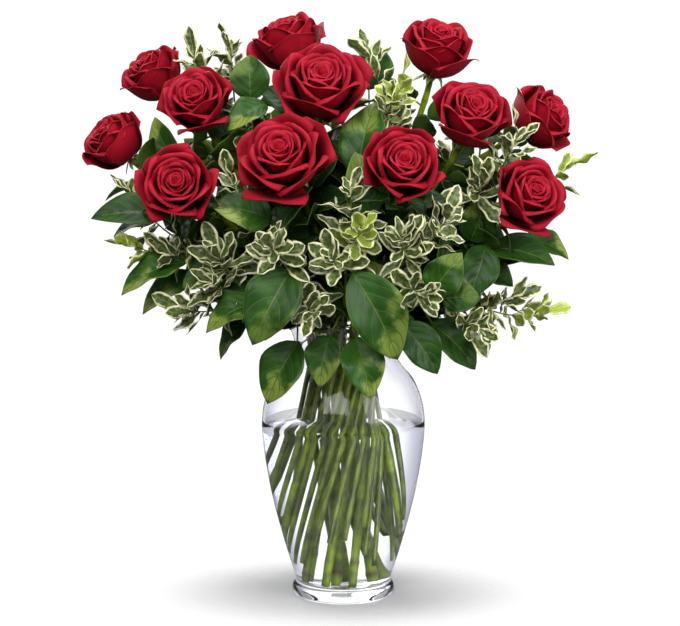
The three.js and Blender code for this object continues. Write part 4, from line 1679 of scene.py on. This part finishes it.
@dataclass(frozen=True)
class PittosporumBranch(Branch):
    """A stem of variegated pittosporum with twigs that end in sprays of small waved leaves."""

    sprays: Sequence[tuple[float, Place]]
    order: int

    leaf_count = 12
    leaf_step = 0.085
    leaf_length = 31.0
    leaf_width = 15.0
    twig_rise = 0.25
    tip_number = 9
    new_growth = 0.95

    def build(self) -> None:
        """Builds the stem, the twigs and the leaves."""
        node = "pittosporum_" + self.name
        stem = self.grown(node)
        twigs = Piece("pittosporum_twigs_" + self.name)
        path = stem.path(self.spacing)
        twigs.tube(path, lambda share: stem.taper(2.3, 1.0, share), sides=8)
        blades = Piece("pittosporum_leaves_" + self.name)
        for number, (share, tip) in enumerate(self.sprays):
            start, end = stem.upper.along(share), Vector(tip)
            swing = Frame.pick(
                node,
                STEM_BENDS,
                depth=0.5,
                points=lambda sway, lift: [self.twig(start, end, sway, lift).along(0.5)],
                slack=0.9,
            )
            if swing is None:
                log.warning("%s: no match for twig %d", node, number)
                continue
            twig = self.twig(start, end, *swing)
            twigs.tube(twig.walk(10), lambda share: lerp(1.0, 0.45, share), sides=6)
            self.spray(blades, node, twig, number + 1)
        self.spray(blades, node, stem.upper, self.tip_number, ())
        twigs.finish([Finish.TWIG], "pittosporum", [node], turn_out=True)
        sides = [Finish.VARIEGATED, Finish.VARIEGATED]
        blades.finish(sides, "pittosporum", [node], thickness=0.4)

    def twig(self, start: Vector, tip: Vector, sway: float, lift: float) -> Curve:
        """Draws a twig.

        Args:
            start: Where it leaves the stem.
            tip: Its end before it is swung.
            sway: How far it is swung aside, as a share of its reach.
            lift: How far it is lifted, as such a share.

        Returns:
            Its curve.
        """
        reach = (tip - start).length
        side = (tip - start).cross(UP).normalized()
        end = tip + side * (sway * reach / 2) + UP * (lift * reach / 2)
        rise = UP * ((lift - self.twig_rise) * reach)
        return Curve(start, start.lerp(end, 0.55) + rise + side * (sway * reach), end)

    def leaf(self, twig: Curve, k: float, seed: float) -> Leaf:
        """Places a leaf of a spray.

        Args:
            twig: The twig's curve.
            k: The leaf's number, 0 the topmost.
            seed: The seed of this twig's draws.

        Returns:
            The leaf.
        """
        share = max(0.12, 0.99 - k * self.leaf_step)
        start, along = twig.along(share), twig.way(share)
        across = along.cross(UP).normalized()
        around = Matrix.Rotation(k * GOLDEN_ANGLE + 2 * math.pi * draw(seed), 3, along) @ across
        spread = math.radians(min(78, 24 + 9 * k))
        way = along * math.cos(spread) + around * math.sin(spread)
        facing = along * math.sin(spread) - around * math.cos(spread)
        length = self.leaf_length * (0.78 + 0.05 * min(k, 6) + 0.2 * draw(seed + k))
        return Leaf(
            start,
            start + way * length,
            facing,
            width=self.leaf_width * length / self.leaf_length,
            fold=0.3,
            sag=-0.08,
            wave=0.3,
            lobes=0.015,
            broadest=1.35,
            bluntness=0.6,
            ripples=1.7,
        )

    def varied(self, leaf: Leaf, seed: float, young: float) -> Leaf:
        """Swings and sizes a leaf that the CAD node doesn't hold in its own way.

        Args:
            leaf: The leaf.
            seed: The seed of its draws.
            young: How far it has the colour of new growth.

        Returns:
            The changed leaf.
        """
        sway, lift, size, slim = (draw(seed + n) for n in range(4))
        leaf = leaf.swung(0.8 * sway - 0.4, 0.8 * lift - 0.4)
        share = lerp(0.58, 0.92, size) * lerp(1, 0.8, young)
        width = leaf.width * lerp(0.62, 0.86, slim)
        return replace(leaf, tip=leaf.base.lerp(leaf.tip, share), width=width)

    def spray(
        self, blades: Piece, node: str, twig: Curve, number: int, held: Sequence[int] = (0, 3)
    ) -> None:
        """Adds the leaves of one twig.

        Args:
            blades: The piece that gets them.
            node: The CAD node of the branch.
            twig: The twig's curve.
            number: The twig's number on the branch.
            held: Numbers of the leaves that the CAD node holds.
        """
        seed = 10 * self.order + number
        young = self.new_growth if (self.name, number) in NEW_GROWTH else 0.0
        extra = (n + 0.5 for n in range(self.leaf_count // 2))
        for k in (*range(self.leaf_count), *extra):
            leaf = self.leaf(twig, k, seed)
            if k in held:
                leaf = leaf.swung(*(leaf.match(node, depth=0.35, slack=1.0) or (0, 0)))
            else:
                leaf = self.varied(leaf, seed + 11 * k, young)
            if Space.cuts([[leaf.point(u, v) for v in (0.05, 0.35, 0.65, 1)] for u in (-1, 0, 1)]):
                continue
            fresh = young * max(0.25, 1 - k / 9)
            curl, twist = 0.2 * draw(seed + 2 * k) - 0.05, 0.9 * draw(seed + 4 * k) - 0.45
            leaf = replace(leaf, curl=curl, twist=twist)
            tone = draw(seed + 3 * k)
            blades.sheet(leaf.point, columns=4, rows=11, tone=tone, young=fresh)


# Branch and number of each spray that is young and lime green.
NEW_GROWTH = {
    ("left", 1), ("centre", 1), ("right", 2), ("low_right", 1), ("top_right", 1), ("back_left", 2),
}


class Space:
    """Tells whether a place is already filled by a bloom, a broad leaf or the vase."""

    foliage_centre = Vector((-4, 8, 330))
    foliage_shrink = Vector((1 / 200, 1 / 104, 1 / 138))
    shoulder_z = 215
    shoulder_radius = 76
    bloom_radius = 60
    bloom_gap = 1.2

    @classmethod
    def cuts(cls, lines: Sequence[Sequence[Vector]]) -> bool:
        """Tells whether a small leaf meets a bloom, a broad leaf or the glass.

        Args:
            lines: Lines of points along the leaf.

        Returns:
            True where it does.
        """
        if any(cls.taken(point) for line in lines for point in line[1:]):
            return True
        nodes = [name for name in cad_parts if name.startswith(("salal", "rose_bloom"))]
        return any(Frame.crossed(node, line) for node in nodes for line in lines)

    @classmethod
    def inner(cls, point: Vector, reach: float = 1.0) -> bool:
        """Returns whether a place is free and inside a share of the foliage's round outline."""
        way = (point - cls.foliage_centre) * cls.foliage_shrink
        return way.length < reach and not cls.taken(point)

    @classmethod
    def taken(cls, point: Vector) -> bool:
        """Tells whether a small leaf would cut a bloom or the glass.

        Args:
            point: A point of the leaf.

        Returns:
            True where it would.
        """
        if point.z < cls.shoulder_z and math.hypot(point.x, point.y) < cls.shoulder_radius:
            return True
        near = (rose for rose in ROSES if (point - Vector(rose.centre)).length < cls.bloom_radius)
        return any(Frame.gap("rose_bloom_" + rose.name, point) < cls.bloom_gap for rose in near)


# Name, neck, end and foot of each branch, and for each leaf its share of the stem, base, tip,
# width and facing.
SALAL = [
    SalalBranch("low_left", (30, 225), (-62, -62, 292), (55, 82), [
        (0.98, (-43, -95, 307), (-77, -112, 244), 50, (-0.1, -1, 0.35)),
        (0.6, (-38, -62, 240), (-68, -66, 186), 42, (-0.3, -1, 0.3)),
        (0.9, (-73, -70, 275), (-119, -78, 252), 38, (-0.1, -0.7, 0.8)),
        (0.75, (-82, -40, 256), (-109, -40, 221), 30, (-0.5, -0.6, 0.6))]),
    SalalBranch("left", (30, 188), (-150, -8, 330), (50, 64), [
        (0.7, (-137, -30, 306), (-196, -42, 282), 36, (-0.1, -0.6, 0.8)),
        (0.62, (-130, -8, 292), (-181, -18, 262), 34, (-0.2, -0.7, 0.7)),
        (0.98, (-159, -30, 348), (-220, -40, 344), 40, (0, -0.75, 0.65)),
        (0.9, (-156, -2, 343), (-206, 4, 325), 32, (-0.1, -0.5, 0.8)),
        (1, (-148, 22, 386), (-173, 32, 432), 30, (-0.4, -0.9, 0.1)),
        (0.5, (-99, -38, 301), (-141, -46, 286), 36, (-0.1, -0.8, 0.6))]),
    SalalBranch("top_left", (30, 152), (-86, 6, 430), (41, 31), [
        (1, (-83, 15, 446), (-84, 22, 488), 38, (0, -1, 0.15)),
        (0.95, (-68, -12, 444), (-101, -32, 423), 30, (0.1, -0.7, 0.7)),
        (0.6, (-62, -62, 346), (-112, -78, 360), 42, (0.1, -0.9, 0.4)),
        (1, (-96, 24, 404), (-120, 34, 436), 34, (-0.3, -0.9, 0.2))]),
    SalalBranch("top", (30, 295), (24, -22, 400), (42, 34), [
        (1, (22, 14, 456), (31, 28, 496), 38, (0.1, -1, 0.1)),
        (0.9, (12, -62, 384), (27, -48, 447), 44, (-0.3, -1, 0.1)),
        (0.75, (22, -78, 350), (10, -84, 404), 40, (0.2, -1, 0.1)),
        (0.95, (46, 12, 426), (40, 16, 466), 36, (0, -1, 0.2)),
        (0.6, (-5, -40, 316), (7, -48, 365), 38, (0.1, -1, 0.1))]),
    SalalBranch("low_centre", (30, 261), (2, -88, 300), (42, 40), [
        (0.5, (-12, -66, 246), (-21, -80, 203), 34, (-0.2, -1, 0.2)),
        (0.62, (10, -76, 246), (24, -88, 194), 40, (0.1, -1, 0.2)),
        (0.98, (7, -108, 305), (48, -96, 228), 52, (0.15, -1, 0.3)),
        (0.75, (-53, -42, 305), (-39, -50, 356), 38, (0, -1, 0.2)),
        (0.9, (42, -62, 271), (31, -70, 313), 34, (0, -1, 0.2))]),
    SalalBranch("low_right", (30, 326), (84, -62, 282), (48, 58), [
        (0.6, (50, -74, 258), (81, -74, 213), 36, (0.2, -1, 0.4)),
        (0.75, (75, -50, 255), (116, -48, 213), 38, (0.3, -0.8, 0.5)),
        (0.95, (84, -66, 277), (118, -68, 278), 34, (0.2, -0.8, 0.5)),
        (1, (74, -92, 286), (99, -102, 320), 36, (0.1, -1, 0.3)),
        (0.8, (108, -22, 252), (130, -22, 226), 24, (0.3, -0.8, 0.5)),
        (0.9, (60, -42, 305), (71, -50, 349), 38, (0.1, -1, 0.2))]),
    SalalBranch("right", (30, 354), (132, -16, 322), (49, 73), [
        (0.8, (124, -42, 322), (108, -58, 276), 36, (0.2, -1, 0.2)),
        (0.9, (130, -34, 318), (184, -48, 305), 40, (0.1, -0.7, 0.8)),
        (1, (160, -2, 324), (202, -8, 309), 32, (0.1, -0.6, 0.8)),
        (0.72, (122, -14, 299), (150, -26, 284), 26, (0.2, -0.8, 0.6)),
        (1, (111, -28, 323), (126, -36, 364), 34, (0.1, -1, 0.2)),
        (0.6, (98, -30, 272), (111, -38, 310), 32, (0.1, -1, 0.2))]),
    SalalBranch("back_left", (30, 118), (-78, 88, 372), (42, 40), [
        (0.4, (-46, 62, 266), (-74, 84, 220), 44, (-0.4, 1, 0.3)),
        (0.6, (-84, 72, 306), (-138, 92, 288), 42, (-0.3, 0.7, 0.7)),
        (0.75, (-46, 100, 330), (-34, 132, 278), 46, (-0.1, 1, 0.3)),
        (0.9, (-108, 84, 376), (-150, 104, 410), 40, (-0.3, 0.9, 0.2)),
        (1, (-66, 92, 388), (-50, 100, 448), 42, (-0.1, 1, 0.1))]),
    SalalBranch("back_right", (30, 65), (66, 88, 366), (40, 34), [
        (0.4, (34, 64, 262), (52, 88, 212), 44, (0.3, 1, 0.3)),
        (0.6, (86, 66, 300), (140, 84, 280), 42, (0.3, 0.7, 0.7)),
        (0.75, (34, 102, 326), (18, 136, 276), 46, (0.1, 1, 0.3)),
        (0.9, (112, 80, 360), (158, 96, 386), 42, (0.3, 0.9, 0.3)),
        (1, (50, 92, 388), (34, 104, 448), 42, (0.1, 1, 0.1))]),
]

# Name, angle at the neck, end and foot of each branch, and each spray's share of the stem and tip.
PITTOSPORUM = [
    PittosporumBranch(name, (30, angle), end, foot, sprays, order)
    for order, (name, angle, end, foot, sprays) in enumerate([
        ("low_left", 207, (-92, -42, 292), (59, 100),
         [(0.8, (-142, -52, 268)), (0.92, (-112, -66, 292)), (1, (-108, -72, 318))]),
        ("left", 170, (-132, -22, 320), (46, 49),
         [(0.95, (-186, -28, 322)), (0.85, (-152, -38, 312)), (1, (-188, -14, 368))]),
        ("centre_left", 243, (-50, -84, 318), (50, 64),
         [(0.95, (-62, -118, 330)), (0.8, (-24, -116, 270)), (1, (-98, -66, 382))]),
        ("centre", 278, (6, -84, 326), (41, 31),
         [(0.95, (14, -118, 344)), (0.85, (-10, -120, 318)), (1, (6, -104, 376))]),
        ("centre_right", 311, (56, -88, 318), (46, 52),
         [(0.85, (68, -116, 284)), (0.95, (48, -120, 336)), (1, (88, -102, 352))]),
        ("right", 340, (118, -26, 366), (49, 61),
         [(0.9, (122, -62, 384)), (1, (204, -8, 392)), (1, (150, -52, 418))]),
        ("low_right", 9, (108, -30, 278), (45, 46),
         [(0.95, (180, -22, 262)), (0.85, (150, -38, 276)), (0.75, (118, -74, 246))]),
        ("top_right", 46, (54, -14, 420), (52, 73),
         [(1, (66, -72, 462)), (0.95, (36, -58, 440)), (1, (22, 6, 492))]),
        ("top_left", 135, (-98, 58, 430), (48, 55),
         [(1, (-102, 36, 496)), (0.95, (-134, 24, 486)), (0.9, (-72, -4, 412))]),
        ("back_left", 98, (-20, 84, 356), (38, 31),
         [(0.8, (-104, 106, 338)), (0.95, (-30, 126, 392)), (1, (-6, 96, 440))]),
        ("back_right", 28, (76, 72, 348), (42, 34),
         [(0.8, (120, 92, 318)), (0.95, (78, 118, 372)), (1, (112, 74, 428))]),
    ])
]


# ---- Studio -----------------------------------------------------------------------------


@dataclass(frozen=True)
class Lamp:
    """A square soft lamp that looks at the bouquet, in metres and watts."""

    name: str
    place: Place
    size: float
    power: float

    target = Vector((0, 0, 0.3))

    def build(self) -> None:
        """Hangs the lamp."""
        light = bpy.data.lights.new(self.name, "AREA")
        light.size = self.size
        light.energy = self.power
        made = bpy.data.objects.new(self.name, light)
        made.location = self.place
        way = self.target - Vector(self.place)
        made.rotation_euler = way.to_track_quat("-Z", "Y").to_euler()
        bpy.context.scene.collection.objects.link(made)


LAMPS = [
    Lamp("key", (-0.4, -2.0, 1.65), 1.6, 48.0),
    Lamp("fill", (1.8, -1.5, 1.1), 1.5, 43.0),
    Lamp("top", (0.1, 0.1, 2.4), 1.2, 31.0),
    Lamp("back", (-1.1, 1.9, 1.4), 1.5, 28.0),
]


@dataclass
class Studio:
    """The floor, the lamps, the white round them and the camera."""

    aim: Place = (-3.0, 0.0, 257.0)
    distance: float = 1600.0
    look_down: float = 7.0
    lens: float = 94.1
    sensor: float = 36.0
    floor_radius: float = 2.0
    ambient: float = 0.17
    backdrop: float = 0.88
    through_glass: float = 1.12
    mirrored: float = -0.09
    white: Colour = (1.0, 1.0, 1.0)
    lilac: Colour = (0.64, 0.64, 0.7)

    def build(self) -> None:
        """Builds the studio."""
        self.floor()
        self.world()
        for lamp in LAMPS:
            lamp.build()
        self.camera()
        bpy.context.scene.view_settings.view_transform = "Standard"
        bpy.context.scene.view_settings.look = "None"

    def floor(self) -> None:
        """Makes the pale floor."""
        bm = bmesh.new()
        bmesh.ops.create_circle(bm, cap_ends=True, segments=64, radius=self.floor_radius)
        mesh = bpy.data.meshes.new("floor")
        bm.to_mesh(mesh)
        bm.free()
        made = bpy.data.objects.new("floor", mesh)
        mesh.materials.append(Finish.FLOOR.made())
        bpy.context.scene.collection.objects.link(made)

    def world(self) -> None:
        """Surrounds the scene with white that is softer as light than it looks.

        Seen through the glass it turns lilac along the diagonals, as a backdrop's corners do.
        """
        world = bpy.data.worlds.new("studio")
        world.use_nodes = True
        bpy.context.scene.world = world
        shader = Shader(world.node_tree)
        sky = shader.node("ShaderNodeTexCoord").outputs["Generated"]
        way = shader.node("ShaderNodeSeparateXYZ", None, {0: sky})
        x, y = Num(shader, way.outputs[0]), Num(shader, way.outputs[1])
        diagonal = (x * y).size() * 2 / (x * x + y * y + 0.001)
        rays = shader.node("ShaderNodeLightPath").outputs
        direct = 1 - Num(shader, rays["Diffuse Depth"]).rise(0.0, 1.0)
        through = Num(shader, rays["Is Transmission Ray"]) * direct
        seen = Num(shader, rays["Is Camera Ray"]) * self.backdrop
        glossy = Num(shader, rays["Is Glossy Ray"]) * self.mirrored
        strength = self.ambient + seen + through * self.through_glass + glossy
        colour = shader.mix(self.white, self.lilac, through * diagonal.rise(0.72, 1.0))
        inputs = {"Color": colour, "Strength": strength}
        back = shader.node("ShaderNodeBackground", None, inputs).outputs[0]
        shader.node("ShaderNodeOutputWorld", None, {"Surface": back})

    def camera(self) -> None:
        """Sets the camera at the photograph's viewing angle."""
        data = bpy.data.cameras.new("camera")
        data.lens = self.lens
        data.sensor_width = self.sensor
        made = bpy.data.objects.new("camera", data)
        down = math.radians(self.look_down)
        back = Vector((0, -math.cos(down), math.sin(down))) * self.distance
        made.location = (Vector(self.aim) + back) * MM
        made.rotation_euler = (math.pi / 2 - down, 0, 0)
        bpy.context.scene.collection.objects.link(made)
        bpy.context.scene.camera = made


def main() -> None:
    """Builds every piece in order."""
    Studio().build()
    Vase().build()
    for group in (ROSES, SALAL, PITTOSPORUM):
        for member in group:
            member.build()


if __name__ == "__main__":
    main()
